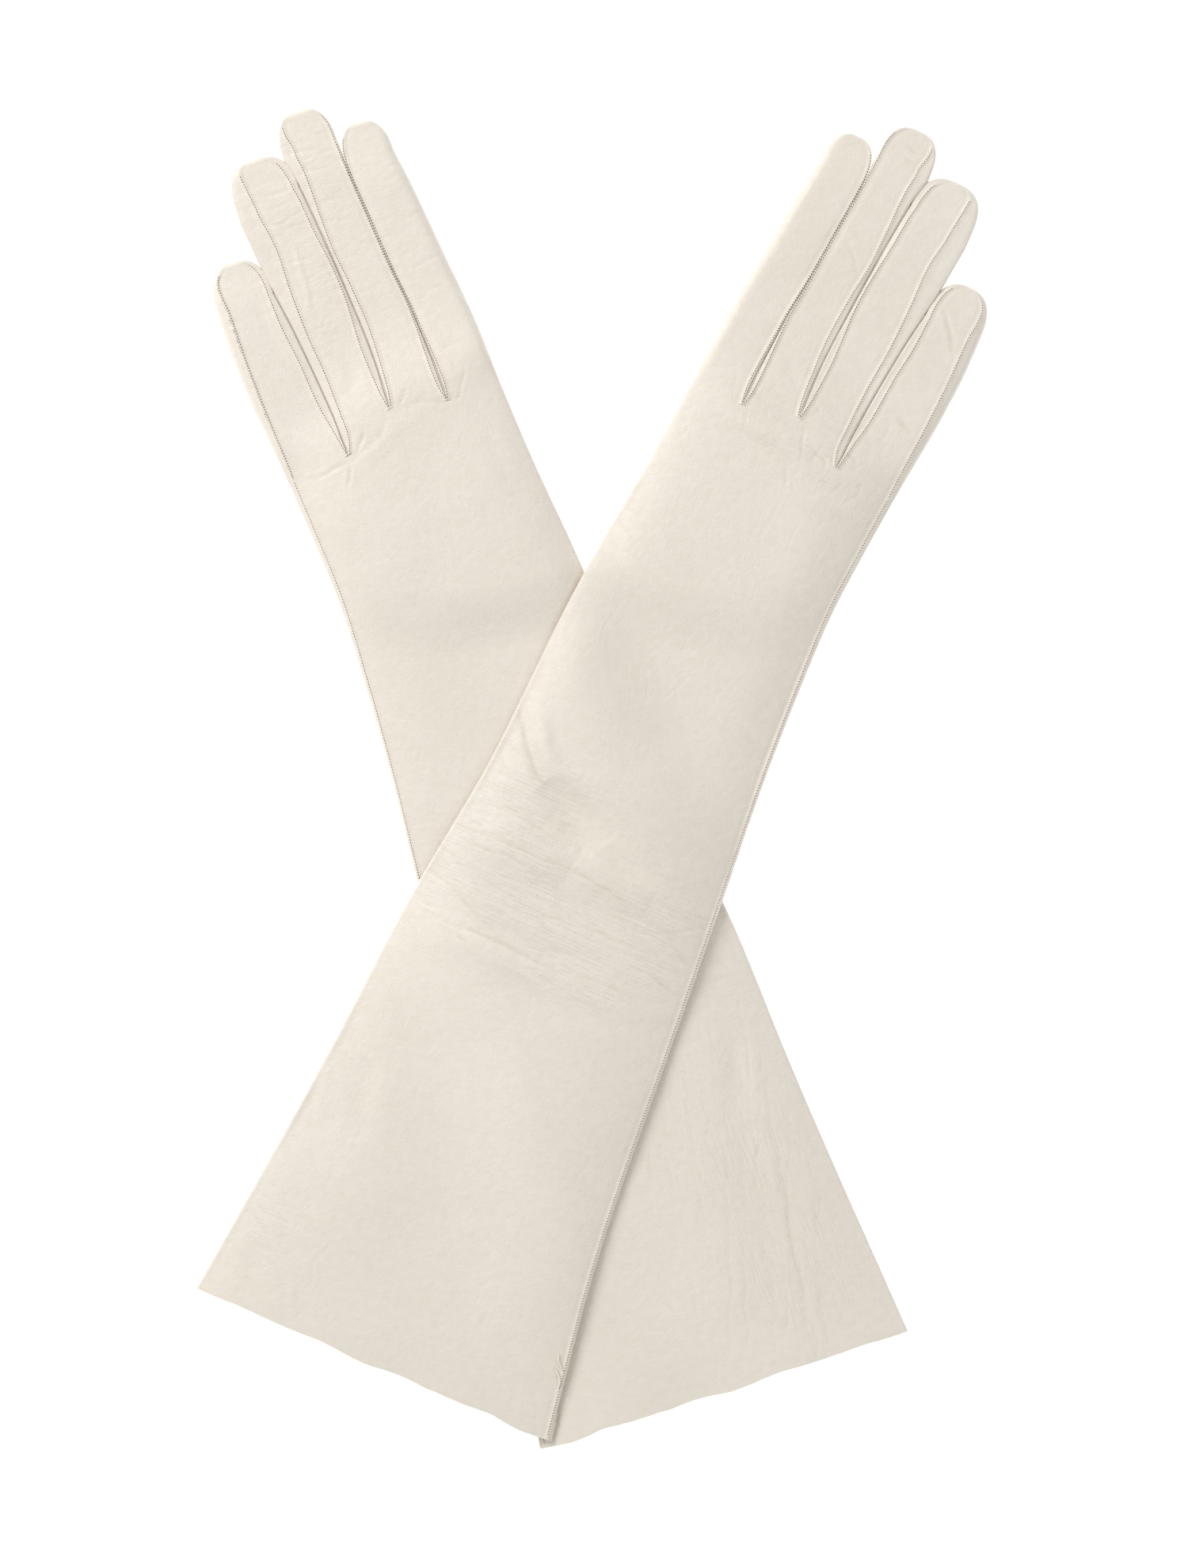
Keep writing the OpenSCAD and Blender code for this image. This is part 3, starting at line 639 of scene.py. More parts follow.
def cut_sheet(name, side, points, normals, crease_shade_depth, keep=None):
    """One sheet of leather as thick as it is cut, with its grain side out and its cut edges closed."""
    rows, cols = points.shape[:2]
    n = rows * cols
    index = np.arange(n).reshape(rows, cols)
    quads = np.stack([index[:-1, :-1], index[:-1, 1:], index[1:, 1:], index[1:, :-1]], -1).reshape(-1, 4)
    if keep is not None:
        quads = quads[keep.ravel()]
    starts, ends = quads.ravel(), np.roll(quads, -1, 1).ravel()
    loose = ~np.isin(starts * n + ends, ends * n + starts)
    a, b = starts[loose], ends[loose]
    rim = np.unique(np.concatenate([a, b]))
    back_to = np.full(n, -1)
    back_to[rim] = np.arange(len(rim))
    outer = points.reshape(-1, 3)
    inner = outer - normals.reshape(-1, 3) * LEATHER_THICKNESS
    everything = np.vstack([outer, inner, outer[rim], inner[rim]])
    ra, rb = back_to[a] + 2 * n, back_to[b] + 2 * n
    edge = np.stack([ra, ra + len(rim), rb + len(rim), rb], 1)
    all_quads = np.vstack([quads, quads[:, ::-1] + n, edge])
    which = np.concatenate([np.zeros(len(quads)), np.ones(len(quads)), np.full(len(edge), 1)])
    thing = make_mesh(name, place(side, everything), all_quads, [GRAIN_SIDE, FLESH_SIDE], which, side)
    # The crease attribute holds the depths of sharp creases and seam lines, which the leather's colour turns
    # into painted shade
    depth = crease_shade_depth.ravel()
    values = np.concatenate([depth, depth, depth[rim], depth[rim]]).astype(np.float32)
    attributes = thing.data.attributes
    attributes.new("crease", "FLOAT", "POINT").data.foreach_set("value", values)
    x, y = everything[:, 0], everything[:, 1]
    flat = (np.stack([x, y, 0 * x], 1) * MM).astype(np.float32)
    attributes.new("flat", "FLOAT_VECTOR", "POINT").data.foreach_set("vector", flat.ravel())
    for way in ("across", "along"):
        amount = creping(side, way, x, y).astype(np.float32)
        attributes.new("crept_" + way, "FLOAT", "POINT").data.foreach_set("value", amount)
    return thing


# ---------------------------------------------------------------- stitches

STITCH_PITCH = 0.95
STITCH_LENGTH = 0.6
THREAD_RADIUS = 0.17
# Radius of the dark disc of painted shadow at each needle hole
HOLE_RADIUS = 0.22
# A stitch from end to end: the way along as a share of its length, its radius as a share of the
# thread's, and how far its middle stands above the leather
STITCH_RINGS = [
    (-0.5, 0.35, -0.10), (-0.32, 0.95, 0.10), (0, 1.0, 0.14), (0.32, 0.95, 0.10), (0.5, 0.35, -0.10),
]
STITCH_SIDES = 6
# How far a hole's disc of painted shadow lies above the leather, so that the two don't meet
HOLE_LEVEL = 0.05


def along_path(path, normals, pitch, start=0.0):
    """Evenly spaced points on a path, with the path's direction and the leather's normal there."""
    run = np.concatenate([[0], np.cumsum(np.linalg.norm(np.diff(path, axis=0), axis=1))])
    at = np.arange(start, run[-1], pitch)
    pick = lambda values, where: np.stack([np.interp(where, run, values[:, k]) for k in range(3)], 1)
    way = pick(path, at + 0.3) - pick(path, at - 0.3)
    way /= np.maximum(np.linalg.norm(way, axis=1, keepdims=True), 1e-9)
    up = pick(normals, at)
    up -= way * (up * way).sum(1, keepdims=True)
    up /= np.maximum(np.linalg.norm(up, axis=1, keepdims=True), 1e-9)
    return pick(path, at), way, up


def tube_quads(rings, sides, first=0):
    """The faces of a tube whose points come ring by ring."""
    quads = []
    for ring in range(rings - 1):
        for k in range(sides):
            p, q = first + ring * sides + k, first + ring * sides + (k + 1) % sides
            quads.append((p, q, q + sides, p + sides))
    return quads


def stitch_row(path, normals, shift=0.0, start=0.5):
    """Short bars of thread that dip into the leather at both ends, and dark discs of painted shadow for the
    needle holes between them.
    """
    middle, way, up = along_path(path, normals, STITCH_PITCH, start)
    beside = np.cross(way, up)
    middle = middle + beside * shift
    turn = np.arange(STITCH_SIDES) * 2 * np.pi / STITCH_SIDES
    points = []
    for along, share, rise in STITCH_RINGS:
        radius = share * THREAD_RADIUS
        points += [(along * STITCH_LENGTH, radius * math.cos(a), rise + radius * math.sin(a)) for a in turn]
    points, quads = np.array(points), np.array(tube_quads(len(STITCH_RINGS), STITCH_SIDES))
    body = middle[:, None] + way[:, None] * points[:, 0, None]
    body = body + beside[:, None] * points[:, 1, None] + up[:, None] * points[:, 2, None]
    thread_quads = (quads[None] + np.arange(len(middle))[:, None, None] * len(points)).reshape(-1, 4)
    # Dark discs of painted shadow at the needle holes, half a stitch after each stitch
    hole_shadow_middle, way, up = along_path(path, normals, STITCH_PITCH, start + STITCH_PITCH / 2)
    beside = np.cross(way, up)
    hole_shadow_middle = hole_shadow_middle + beside * shift
    ring = np.stack([np.cos(turn), np.sin(turn)], 1) * HOLE_RADIUS
    hole_shadows = hole_shadow_middle[:, None] + way[:, None] * ring[:, 0, None]
    hole_shadows = hole_shadows + beside[:, None] * ring[:, 1, None] + up[:, None] * HOLE_LEVEL
    hole_shadow_quads = np.array([(0, 1, 2, 3), (0, 3, 4, 5)])
    hole_shadow_quads = (hole_shadow_quads[None] + np.arange(len(hole_shadow_middle))[:, None, None] * STITCH_SIDES).reshape(-1, 4)
    return body.reshape(-1, 3), thread_quads, hole_shadows.reshape(-1, 3), hole_shadow_quads


def sew(name, side, rows):
    """One piece out of several rows of stitches."""
    points, quads, which, n = [], [], [], 0
    for body, body_quads, hole_shadows, hole_shadow_quads in rows:
        for part, part_quads, material in ((body, body_quads, 0), (hole_shadows, hole_shadow_quads, 1)):
            points.append(part)
            quads.append(part_quads + n)
            which.append(np.full(len(part_quads), material))
            n += len(part)
    # The second material paints the shadow in each needle hole
    materials = [SEWING_THREAD, NEEDLE_HOLE_SHADOW]
    points, quads, which = place(side, np.vstack(points)), np.vstack(quads), np.concatenate(which)
    thing = make_mesh(name, points, quads, materials, which, side)
    return thing


# ---------------------------------------------------------------- materials

def srgb(hexadecimal):
    """An sRGB hex colour as linear red, green, blue and alpha."""
    parts = [int(hexadecimal[k:k + 2], 16) / 255 for k in (1, 3, 5)]
    return tuple(c / 12.92 if c <= 0.04045 else ((c + 0.055) / 1.055) ** 2.4 for c in parts) + (1.0,)


def per_metre(size_mm):
    """The scale of a pattern whose features are size_mm apart, in texture space measured in metres."""
    return 1000 / size_mm


def add(tree, kind, values=None, links=None, **settings):
    """One node, with its settings, the values of its sockets and what is linked into them."""
    node = tree.nodes.new(kind)
    for key, value in settings.items():
        setattr(node, key, value)
    for key, value in (values or {}).items():
        node.inputs[key].default_value = value
    for key, value in (links or {}).items():
        tree.links.new(value, node.inputs[key])
    return node


def new_material(name):
    """A material, its node tree, its shader and the place on the piece that its patterns hang on."""
    material = bpy.data.materials.new(name)
    material.use_nodes = True
    tree = material.node_tree
    shader = tree.nodes["Principled BSDF"]
    return material, tree, shader, add(tree, "ShaderNodeTexCoord").outputs["Object"]


def noise(tree, place_in, size_mm, **values):
    """Noise with features size_mm apart."""
    values["Scale"] = per_metre(size_mm)
    return add(tree, "ShaderNodeTexNoise", values, {"Vector": place_in}).outputs[0]


def mixed(tree, share, first, second):
    """A colour between first, a hex colour or a socket, and second, a hex colour."""
    values, links = {7: srgb(second)}, {0: share}
    if isinstance(first, str):
        values[6] = srgb(first)
    else:
        links[6] = first
    return add(tree, "ShaderNodeMix", values, links, data_type="RGBA").outputs[2]


def crept_lines(tree, flat, across_mm, along_mm, seed):
    """Thin wandering valleys, stretched along one way of the glove: 0 in a valley and 1 beside it."""
    scale = (per_metre(across_mm), per_metre(along_mm), 1.0)
    mapped = add(
        tree, "ShaderNodeMapping", {"Location": (seed, seed, seed), "Scale": scale},
        {"Vector": flat},
    )
    waves = add(
        tree, "ShaderNodeTexNoise", {"Scale": 1.0, "Detail": 3.0, "Distortion": 0.15},
        {"Vector": mapped.outputs[0]},
    )
    off = add(tree, "ShaderNodeMath", {1: 0.5}, {0: waves.outputs[0]}, operation="SUBTRACT")
    size = add(tree, "ShaderNodeMath", {}, {0: off.outputs[0]}, operation="ABSOLUTE")
    valley = add(
        tree, "ShaderNodeMapRange", {1: 0.0, 2: 0.045, 3: 0.0, 4: 1.0},
        {0: size.outputs[0]}, interpolation_type="SMOOTHSTEP",
    )
    return valley.outputs[0]


def glace_kid_leather():
    """Kid skin, tanned white, dyed ivory in the drum and glazed by rubbing. The glaze gives a soft even
    satin sheen, the skin shows as a faint cloudiness, and shade is painted darker into sharp creases
    and along the seams."""
    material, tree, shader, place_in = new_material("glace_kid_leather_drum_dyed")
    clouds = noise(tree, place_in, 55, Detail=3.0)
    mottle = noise(tree, place_in, 3.2, Detail=5.0)
    base = mixed(tree, clouds, "#EAE3D8", "#E2DACD")
    fine = add(tree, "ShaderNodeMapRange", {1: 0.35, 2: 0.7, 3: 0.0, 4: 0.3}, {0: mottle})
    worn = mixed(tree, fine.outputs[0], base, "#DAD1C2")
    # Painted shade: the colour darkens towards #B4A78F where the crease attribute is below zero, in sharp
    # creases and along seam lines
    crease_shade_depth = add(tree, "ShaderNodeAttribute", attribute_name="crease")
    painted_crease_shade = add(tree, "ShaderNodeMapRange", {1: -0.04, 2: -0.9, 3: 0.0, 4: 0.7}, {0: crease_shade_depth.outputs["Fac"]})
    colour = mixed(tree, painted_crease_shade.outputs[0], worn, "#B4A78F")
    glaze = add(tree, "ShaderNodeMapRange", {1: 0.3, 2: 0.7, 3: 0.42, 4: 0.56}, {0: mottle})
    # Kid grain is about 0.3 mm; it is drawn at 0.6 mm so that it shows
    grain = add(
        tree, "ShaderNodeTexVoronoi", {"Scale": per_metre(0.6)},
        {"Vector": place_in}, feature="SMOOTH_F1",
    )
    pores = add(
        tree, "ShaderNodeBump", {"Strength": 0.5, "Distance": 0.0001},
        {"Height": grain.outputs["Distance"]},
    )
    ripples = noise(tree, place_in, 2.4, Detail=6.0, Roughness=0.65)
    soft = add(
        tree, "ShaderNodeBump", {"Strength": 0.8, "Distance": 0.0003},
        {"Height": ripples, "Normal": pores.outputs[0]},
    )
    flat = add(tree, "ShaderNodeAttribute", attribute_name="flat").outputs["Vector"]
    for way, across_mm, along_mm, seed in (("across", 26.0, 1.5, 3.0), ("along", 1.5, 30.0, 8.0)):
        amount = add(tree, "ShaderNodeAttribute", attribute_name="crept_" + way).outputs["Fac"]
        lines = crept_lines(tree, flat, across_mm, along_mm, seed)
        links = {"Height": lines, "Strength": amount, "Normal": soft.outputs[0]}
        soft = add(tree, "ShaderNodeBump", {"Distance": 0.00006}, links)
    tree.links.new(colour, shader.inputs["Base Color"])
    tree.links.new(glaze.outputs[0], shader.inputs["Roughness"])
    tree.links.new(soft.outputs[0], shader.inputs["Normal"])
    shader.inputs["Specular IOR Level"].default_value = 0.4
    return material


def napped_flesh_side():
    """The inside of the same skin, left as it was split and buffed to a nap: matt and a little paler,
    with the short fibres showing as a fine fuzz."""
    material, tree, shader, place_in = new_material("kid_leather_flesh_side_buffed")
    nap = noise(tree, place_in, 0.8, Detail=5.0)
    colour = mixed(tree, nap, "#E6DECF", "#D8CFBD")
    fuzz = add(tree, "ShaderNodeBump", {"Strength": 0.5, "Distance": 0.0001}, {"Height": nap})
    tree.links.new(colour, shader.inputs["Base Color"])
    tree.links.new(fuzz.outputs[0], shader.inputs["Normal"])
    shader.inputs["Roughness"].default_value = 0.85
    shader.inputs["Sheen Weight"].default_value = 0.15
    return material


def waxed_cotton_thread():
    """Fine two-ply cotton, dyed to match and waxed: a pale bar with the twist of its plies across it."""
    material, tree, shader, place_in = new_material("cotton_sewing_thread_waxed")
    twist = noise(tree, place_in, 0.25, Detail=2.0)
    colour = mixed(tree, twist, "#F8F4EA", "#E8E0D0")
    ply = add(tree, "ShaderNodeBump", {"Strength": 0.4, "Distance": 0.00003}, {"Height": twist})
    tree.links.new(colour, shader.inputs["Base Color"])
    tree.links.new(ply.outputs[0], shader.inputs["Normal"])
    shader.inputs["Roughness"].default_value = 0.6
    return material


def painted_needle_hole_shadow():
    """Painted shadow of a needle hole: a dark disc for the shade inside the hole pricked through the skin."""
    material, tree, shader, place_in = new_material("needle_hole_painted_shadow")
    fray = noise(tree, place_in, 0.4)
    colour = mixed(tree, fray, "#5E5140", "#75684F")
    tree.links.new(colour, shader.inputs["Base Color"])
    shader.inputs["Roughness"].default_value = 0.9
    return material


def white_paper_sweep():
    """White photographic paper: matt, with nothing on it."""
    material, tree, shader, place_in = new_material("white_paper_sweep_matt")
    tooth = noise(tree, place_in, 1.5)
    colour = mixed(tree, tooth, "#FFFFFF", "#FCFCFC")
    tree.links.new(colour, shader.inputs["Base Color"])
    shader.inputs["Roughness"].default_value = 0.9
    shader.inputs["Emission Color"].default_value = srgb("#FFFFFF")
    shader.inputs["Emission Strength"].default_value = 0.5
    return material


GRAIN_SIDE = glace_kid_leather()
FLESH_SIDE = napped_flesh_side()
SEWING_THREAD = waxed_cotton_thread()
NEEDLE_HOLE_SHADOW = painted_needle_hole_shadow()


# ---------------------------------------------------------------- the pieces of a glove

ARM_ROWS = 300
HAND_ROWS = 58
FINGER_ROWS = 140


def make_trank(side):
    """The trank: one skin folded round the arm and hand, from the side seam round to the side seam."""
    hand = np.arange(1, HAND_ROWS + 1) / HAND_ROWS
    drawn = np.concatenate([np.linspace(0, WRIST_Y, ARM_ROWS + 1), mix(WRIST_Y, 350, hand)])
    share = np.concatenate([np.zeros(ARM_ROWS + 1), hand])[:, None]

    def settle(x):
        return np.where(share > 0, mix(WRIST_Y, finger_line(x), share), drawn[:, None])

    walk = [
        (1, side_seam, seam_edge, [0, 0.12, 0.25, 0.4], [0, 0.02, 0.08, 0.2, 0.4], 2),
        (0, seam_edge, fold_edge, AT_EDGE, AT_EDGE, 46),
        (1, fold_edge, side_seam, AT_EDGE, AT_SEAM, 150),
    ]
    x, y, is_back = lay_out(walk, drawn, settle)
    # The cuff was cut by hand and isn't quite straight
    wander = (0.9 * drift(x, x * 0, 15, 81) + 0.25 * drift(x, x * 0, 5, 82)) * (1 - ease(y / 16))
    y = y + np.maximum(wander + 0.4 * (1 - ease(y / 16)), -0.3)
    points, normals, crease_shade_depth = raise_sheet(side, x, y, is_back, tube_faces, (SEAM_RIDGE, SEAM_RIDGE))

    middle_x, middle_y = (x[:-1, :-1] + x[1:, 1:]) / 2, (y[:-1, :-1] + y[1:, 1:]) / 2
    away = np.hypot(middle_x - THUMB_PIVOT[0], middle_y - THUMB_PIVOT[1])
    palm = (is_back[:-1] == 0) & (is_back[1:] == 0)
    hole = (away < THUMB_HOLE_RADIUS) & palm[None, :]
    touched, kept = np.zeros(x.shape, bool), np.zeros(x.shape, bool)
    for mask, into in ((hole, touched), (~hole, kept)):
        into[:-1, :-1] |= mask
        into[1:, :-1] |= mask
        into[:-1, 1:] |= mask
        into[1:, 1:] |= mask
    rim = touched & kept
    way = points[rim][:, :2] - np.array(THUMB_PIVOT)
    way *= THUMB_HOLE_RADIUS / np.linalg.norm(way, axis=1, keepdims=True)
    points[rim, :2] = np.array(THUMB_PIVOT) + way

    trank = cut_sheet(f"{side}_trank", side, points, normals, crease_shade_depth, ~hole)
    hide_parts(f"{side}_cuff", f"{side}_arm", f"{side}_hand")
    seam, up = points[:, -1], normals[:, -1]
    return trank, seam, up


# Seam ridges fade out over the last RIDGE_FADE millimetres, and a fingertip closes over TIP_END
RIDGE_FADE, TIP_END = 4, 3


def finger_piece(side, name, walk, ridges):
    base, tip = SPAN[name][:2]
    f = 1 - (1 - np.linspace(0, 1, FINGER_ROWS)) ** 1.5
    drawn = mix(base, tip, f)

    def settle(x):
        return drawn[:, None] + (finger_line(x) - base) * (1 - f[:, None]) ** 2

    x, y, is_back = lay_out(walk, drawn, settle)
    faces = lambda u, v: finger_faces(name, u, v)
    ridge_fade = ease((tip - y) / RIDGE_FADE)
    points, normals, crease_shade_depth = raise_sheet(side, x, y, is_back, faces, ridges, ridge_fade)
    # The last rows at the tip are so narrow that some of their normals come out turned inwards
    turned_in = (tip - points[..., 1] < TIP_END) & (normals[..., 1] < -0.5)
    normals[turned_in] *= -1
    return points, normals, crease_shade_depth


def lines_of(name):
    """The lines a finger's pieces run between: its two sides and its seams."""
    return {
        "lo": lambda y: finger_sides(name, y)[0], "hi": lambda y: finger_sides(name, y)[1],
        "inner": lambda y: inner_seam(name, y), "outer": lambda y: outer_seam(name, y),
        "palm_inner": lambda y: palm_seam(name, PALM_INNER, y),
        "palm_outer": lambda y: palm_seam(name, PALM_OUTER, y),
    }


# The same distances on the narrow strips between the fingers
STRIP_SEAM = [0, 0.12, 0.25, 0.45, 0.7]
STRIP_EDGE = [0, 0.1, 0.3, 0.6]


def finger_walks(name):
    """Every piece of a finger: its name, its walk round the finger and its two seams."""
    at = lines_of(name)
    back = (1, at["inner"], at["outer"], AT_SEAM, AT_SEAM, 22)
    palm = (0, at["palm_outer"], at["palm_inner"], AT_SEAM, AT_SEAM, 6)
    outer_strip = [
        (1, at["outer"], at["hi"], STRIP_SEAM, STRIP_EDGE, 2),
        (0, at["hi"], at["palm_outer"], STRIP_EDGE, STRIP_SEAM, 1),
    ]
    inner_strip = [
        (0, at["palm_inner"], at["lo"], STRIP_SEAM, STRIP_EDGE, 8),
        (1, at["lo"], at["inner"], STRIP_EDGE, STRIP_SEAM, 2),
    ]
    if name == "index":
        shell = [
            (0, at["palm_outer"], at["lo"], AT_SEAM, AT_EDGE, 10),
            (1, at["lo"], at["outer"], AT_EDGE, AT_SEAM, 24),
        ]
        return [("index_shell", shell, (PALM_GROOVE, SEAM_RIDGE)),
                ("index_outer_fourchette", outer_strip, (SEAM_RIDGE, PALM_GROOVE))]
    pieces = [(f"{name}_back", [back], (SEAM_RIDGE, SEAM_RIDGE)),
              (f"{name}_inner_fourchette", inner_strip, (PALM_GROOVE, SEAM_RIDGE))]
    if name == "little":
        round_palm = [
            (1, at["outer"], at["hi"], STRIP_SEAM, AT_EDGE, 2),
            (0, at["hi"], at["palm_inner"], AT_EDGE, AT_SEAM, 8),
        ]
        return pieces + [("little_palm", round_palm, (SEAM_RIDGE, PALM_GROOVE))]
    return pieces + [(f"{name}_palm", [palm], (PALM_GROOVE, PALM_GROOVE)),
                     (f"{name}_outer_fourchette", outer_strip, (SEAM_RIDGE, PALM_GROOVE))]


# Where the leather bends, along the glove, and the height of the line that it is measured on
BEND_FROM = {"index": 354.5, "middle": 354.5, "ring": 354.5, "little": 345}
BEND_OVER = 22
WRIST_BEND = (289, 302.5)
BEND_LEVEL = 5


def bend_with_finger(thing, side, name):
    start = place(side, (0, BEND_FROM[name], BEND_LEVEL))
    end = place(side, (0, BEND_FROM[name] + BEND_OVER, BEND_LEVEL))
    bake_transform(thing, f"{side}_hand", f"{side}_{name}_finger", start=tuple(start), end=tuple(end))


def bend_with_wrist(thing, side):
    start, end = [place(side, (0, y, BEND_LEVEL)) for y in WRIST_BEND]
    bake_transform(thing, f"{side}_arm", f"{side}_hand", start=tuple(start), end=tuple(end))


# Rows at a seam's tip that get no stitches, which would bunch up there
BARE_ROWS = 16
# The left little finger has two rows of stitches. Half the distance between them, and the start of
# the second, about half a stitch after the first
HALF_ROW, SECOND_ROW_START = 0.32, 0.97


def inside(path):
    return path[:-BARE_ROWS]


def make_finger(side, name):
    edges = {}
    for piece, walk, ridges in finger_walks(name):
        points, normals, crease_shade_depth = finger_piece(side, name, walk, ridges)
        leather = cut_sheet(f"{side}_{piece}_skin", side, points, normals, crease_shade_depth)
        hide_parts(f"{side}_{piece}")
        bend_with_finger(leather, side, name)
        edges[piece] = [(inside(points[:, k]), inside(normals[:, k])) for k in (0, -1)]
    rows = []
    if name == "index":
        rows = [stitch_row(*edge) for edge in edges["index_shell"]]
    else:
        rows = [stitch_row(*edges[f"{name}_back"][0])]
        outer = edges[f"{name}_back"][1]
        if side == "left" and name == "little":
            rows += [stitch_row(*outer, shift=HALF_ROW)]
            rows += [stitch_row(*outer, shift=-HALF_ROW, start=SECOND_ROW_START)]
        else:
            rows += [stitch_row(*outer)]
        palm = edges[f"{name}_palm"]
        rows += [stitch_row(*palm[1])] if name == "little" else [stitch_row(*edge) for edge in palm]
    thread = sew(f"{side}_{name}_stitches", side, rows)
    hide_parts(f"{side}_{name}_thread")
    bend_with_finger(thread, side, name)


def make_side_seam(side, seam, up):
    at_wrist = int(np.searchsorted(seam[:, 1], WRIST_Y))
    arm = sew(f"{side}_arm_seam_stitches", side, [stitch_row(seam[1:at_wrist + 1], up[1:at_wrist + 1])])
    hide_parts(f"{side}_arm_seam_thread")
    bend_with_wrist(arm, side)
    path, normal = seam[at_wrist:], up[at_wrist:]
    hand = sew(f"{side}_hand_seam_stitches", side, [stitch_row(path, normal)])
    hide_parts(f"{side}_hand_seam_thread")
    bend_with_wrist(hand, side)


THUMB_ROWS, THUMB_COLUMNS = 110, 90
# The stitches round the thumb's hole, and how far they lie above the leather
HOLE_STITCH_RADIUS, HOLE_STITCH_LEVEL = 7.5, 0.1
# The loose thread ends: points along each, sides, radius and height above the leather
TAIL_POINTS, TAIL_SIDES = 24, 8
TAIL_RADIUS, TAIL_LEVEL = 0.26, 0.35


def make_thumb(side):
    """The thumb, folded flat under the palm: a tapered tube sewn up one side, round at its tip."""
    f = 1 - (1 - np.linspace(0, 1, THUMB_ROWS)) ** 1.4
    y = mix(THUMB_BASE_Y, THUMB_REACH, f)[:, None]
    base = np.sqrt(np.maximum(1 - np.minimum((y - 3) / 12.5, 0) ** 2, 0))
    tip = np.sqrt(1 - np.clip((f[:, None] - 0.75) / 0.2502, 0, 1) ** 2)
    half = np.maximum(9 * mix(1, 0.8, f[:, None]) * np.minimum(base, tip), 0.05)
    turn = np.linspace(0, 2, THUMB_COLUMNS)[None, :] + 1
    q = np.where(turn % 2 <= 1, turn % 2, 2 - turn % 2)
    way = np.where((turn % 2 <= 1), 1, -1)
    x = -half * np.cos(np.pi * q)
    thick = EDGE_HEIGHT + (THUMB_HEIGHT - EDGE_HEIGHT) * (1 - np.abs(x / half) ** 4)
    swell = round_over(half - np.abs(x), EDGE_HEIGHT / 2) * round_over(THUMB_REACH - y, 1.3)
    soft = 0.12 * drift(x, y + x * 0, 6, 91) * ease((half - np.abs(x)) / 2)
    z = thick / 2 + way * (thick / 2 * swell - np.abs(soft))
    c, s = math.cos(THUMB_TURN), math.sin(THUMB_TURN)
    y = y + x * 0
    turned_x = THUMB_PIVOT[0] + x * c + y * s
    turned_y = THUMB_PIVOT[1] - x * s + y * c
    points = np.stack([turned_x, turned_y, z], -1)
    normals = grid_normals(points)
    middle = (points[:-1, :-1] + points[1:, 1:]) / 2
    away = np.hypot(middle[..., 0] - THUMB_PIVOT[0], middle[..., 1] - THUMB_PIVOT[1])
    hole = (away < THUMB_HOLE_RADIUS) & (middle[..., 2] > THUMB_HEIGHT / 2)
    thumb = cut_sheet(f"{side}_thumb_skin", side, points, normals, np.zeros(x.shape), ~hole)
    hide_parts(f"{side}_thumb")
    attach(thumb, f"{side}_thumb")
    sewn = stitch_row(inside(points[:, 0])[4:], inside(normals[:, 0])[4:])
    seam = sew(f"{side}_thumb_stitches", side, [sewn])
    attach(seam, f"{side}_thumb")

    turn = np.linspace(0, 2 * np.pi, 80)
    level = np.full(len(turn), PROP_HEIGHT + LEATHER_THICKNESS + HOLE_STITCH_LEVEL)
    ring_x = THUMB_PIVOT[0] + HOLE_STITCH_RADIUS * np.cos(turn)
    ring_y = THUMB_PIVOT[1] + HOLE_STITCH_RADIUS * np.sin(turn)
    ring = np.stack([ring_x, ring_y, level], 1)
    up = np.tile([0.0, 0.0, 1.0], (len(turn), 1))
    welt = sew(f"{side}_thumb_hole_stitches", side, [stitch_row(ring, up)])
    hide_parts(f"{side}_thumb_hole_thread")
    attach(welt, f"{side}_hand")


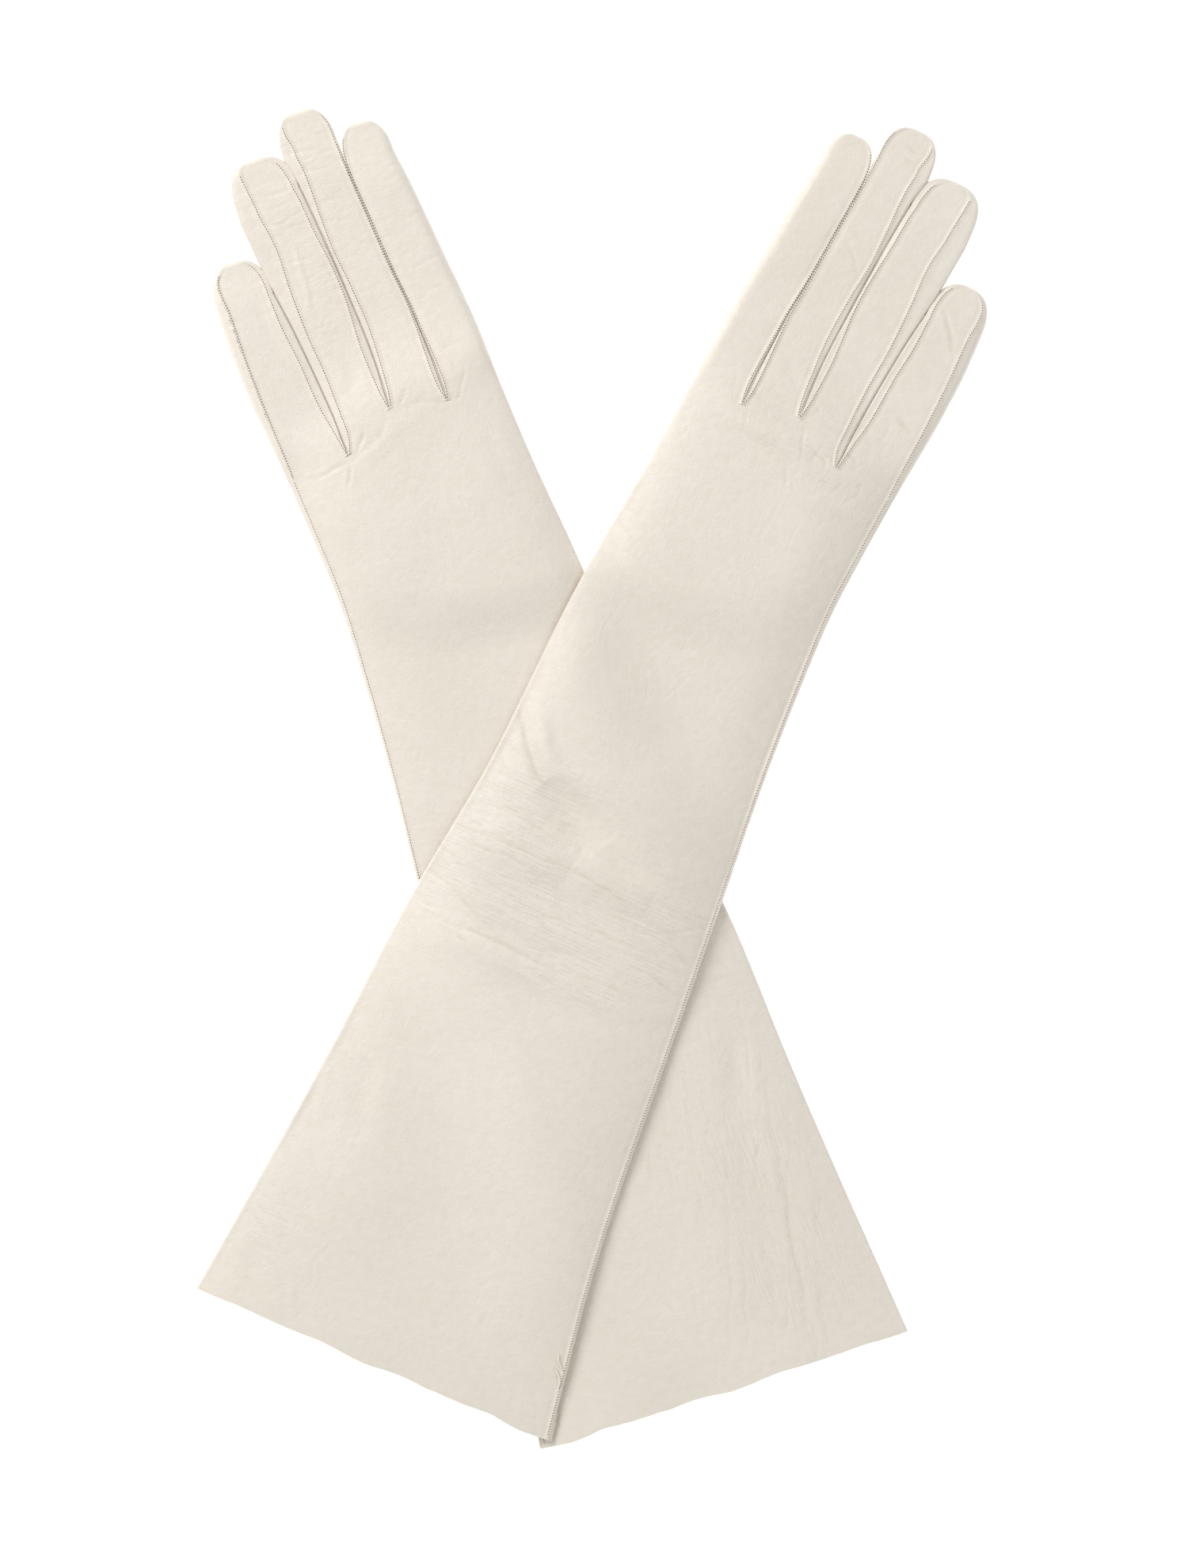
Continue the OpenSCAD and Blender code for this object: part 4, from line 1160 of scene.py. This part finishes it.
def make_thread_ends():
    """Two loose ends of the side seam's thread near the right cuff, each curled over on the leather."""
    points, quads = [], []
    for start, bend, length in ((19, 1.0, 5.5), (25, -0.8, 4.5)):
        t = np.linspace(0, 1, TAIL_POINTS)
        y = start + length * t
        x = side_seam(np.full(TAIL_POINTS, start)) - 0.6 - 3.5 * t + bend * np.sin(np.pi * t)
        z = tube_faces(x, y)[0] + ground("right", x, y) + relief("right", x, y)[0] * 0.9
        z = z + TAIL_LEVEL + 0.5 * np.sin(np.pi * t)
        path = np.stack([x, y, z], 1)
        way = np.gradient(path, axis=0)
        way /= np.linalg.norm(way, axis=1, keepdims=True)
        up = np.array([0, 0, 1.0])
        beside = np.cross(way, up)
        beside /= np.linalg.norm(beside, axis=1, keepdims=True)
        over = np.cross(beside, way)
        quads += tube_quads(TAIL_POINTS, TAIL_SIDES, len(points))
        for k in range(TAIL_POINTS):
            for a in np.arange(TAIL_SIDES) * 2 * np.pi / TAIL_SIDES:
                points.append(path[k] + TAIL_RADIUS * (beside[k] * math.cos(a) + over[k] * math.sin(a)))
    points = place("right", np.array(points))
    thing = make_mesh("right_thread_tails", points, np.array(quads), [SEWING_THREAD])
    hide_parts("right_thread_ends")
    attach(thing, "right_arm")


for side in SIDES:
    trank, seam, up = make_trank(side)
    bend_with_wrist(trank, side)
    make_side_seam(side, seam, up)
    for name in SPAN:
        make_finger(side, name)
    make_thumb(side)
make_thread_ends()

# ---------------------------------------------------------------- camera, floor and light

camera_data = bpy.data.cameras.new("camera")
camera_data.lens = 100
camera_data.sensor_width = 36
camera_data.clip_end = 20
camera = bpy.data.objects.new("camera", camera_data)
camera.location = (0.0014, -0.0011, 1.490)
bpy.context.scene.collection.objects.link(camera)
bpy.context.scene.camera = camera

floor_mesh = bpy.data.meshes.new("paper_sweep")
floor_mesh.from_pydata([(-4, -4, 0), (4, -4, 0), (4, 4, 0), (-4, 4, 0)], [], [(0, 1, 2, 3)])
floor_mesh.materials.append(white_paper_sweep())
floor = bpy.data.objects.new("paper_sweep", floor_mesh)
# Just under the gloves, whose lowest leather would otherwise lie in the same plane
floor.location.z = -0.0006
bpy.context.scene.collection.objects.link(floor)


def soft_light(name, place_at, size, power):
    """A square softbox aimed at the gloves."""
    data = bpy.data.lights.new(name, "AREA")
    data.shape = "SQUARE"
    data.size = size
    data.energy = power
    lamp = bpy.data.objects.new(name, data)
    lamp.location = place_at
    x, y, z = place_at
    lamp.rotation_euler = (math.atan2(math.hypot(x, y), z), 0, math.atan2(-x, y) + math.pi)
    bpy.context.scene.collection.objects.link(lamp)
    return lamp


soft_light("key_softbox", (-1.25, 1.15, 1.3), 1.0, 29.5)
soft_light("fill_softbox", (1.3, -0.9, 1.8), 1.6, 9)

world = bpy.data.worlds.new("studio")
world.use_nodes = True
world.node_tree.nodes["Background"].inputs["Color"].default_value = srgb("#FFFFFF")
world.node_tree.nodes["Background"].inputs["Strength"].default_value = 0.54
bpy.context.scene.world = world
bpy.context.scene.view_settings.view_transform = "Standard"
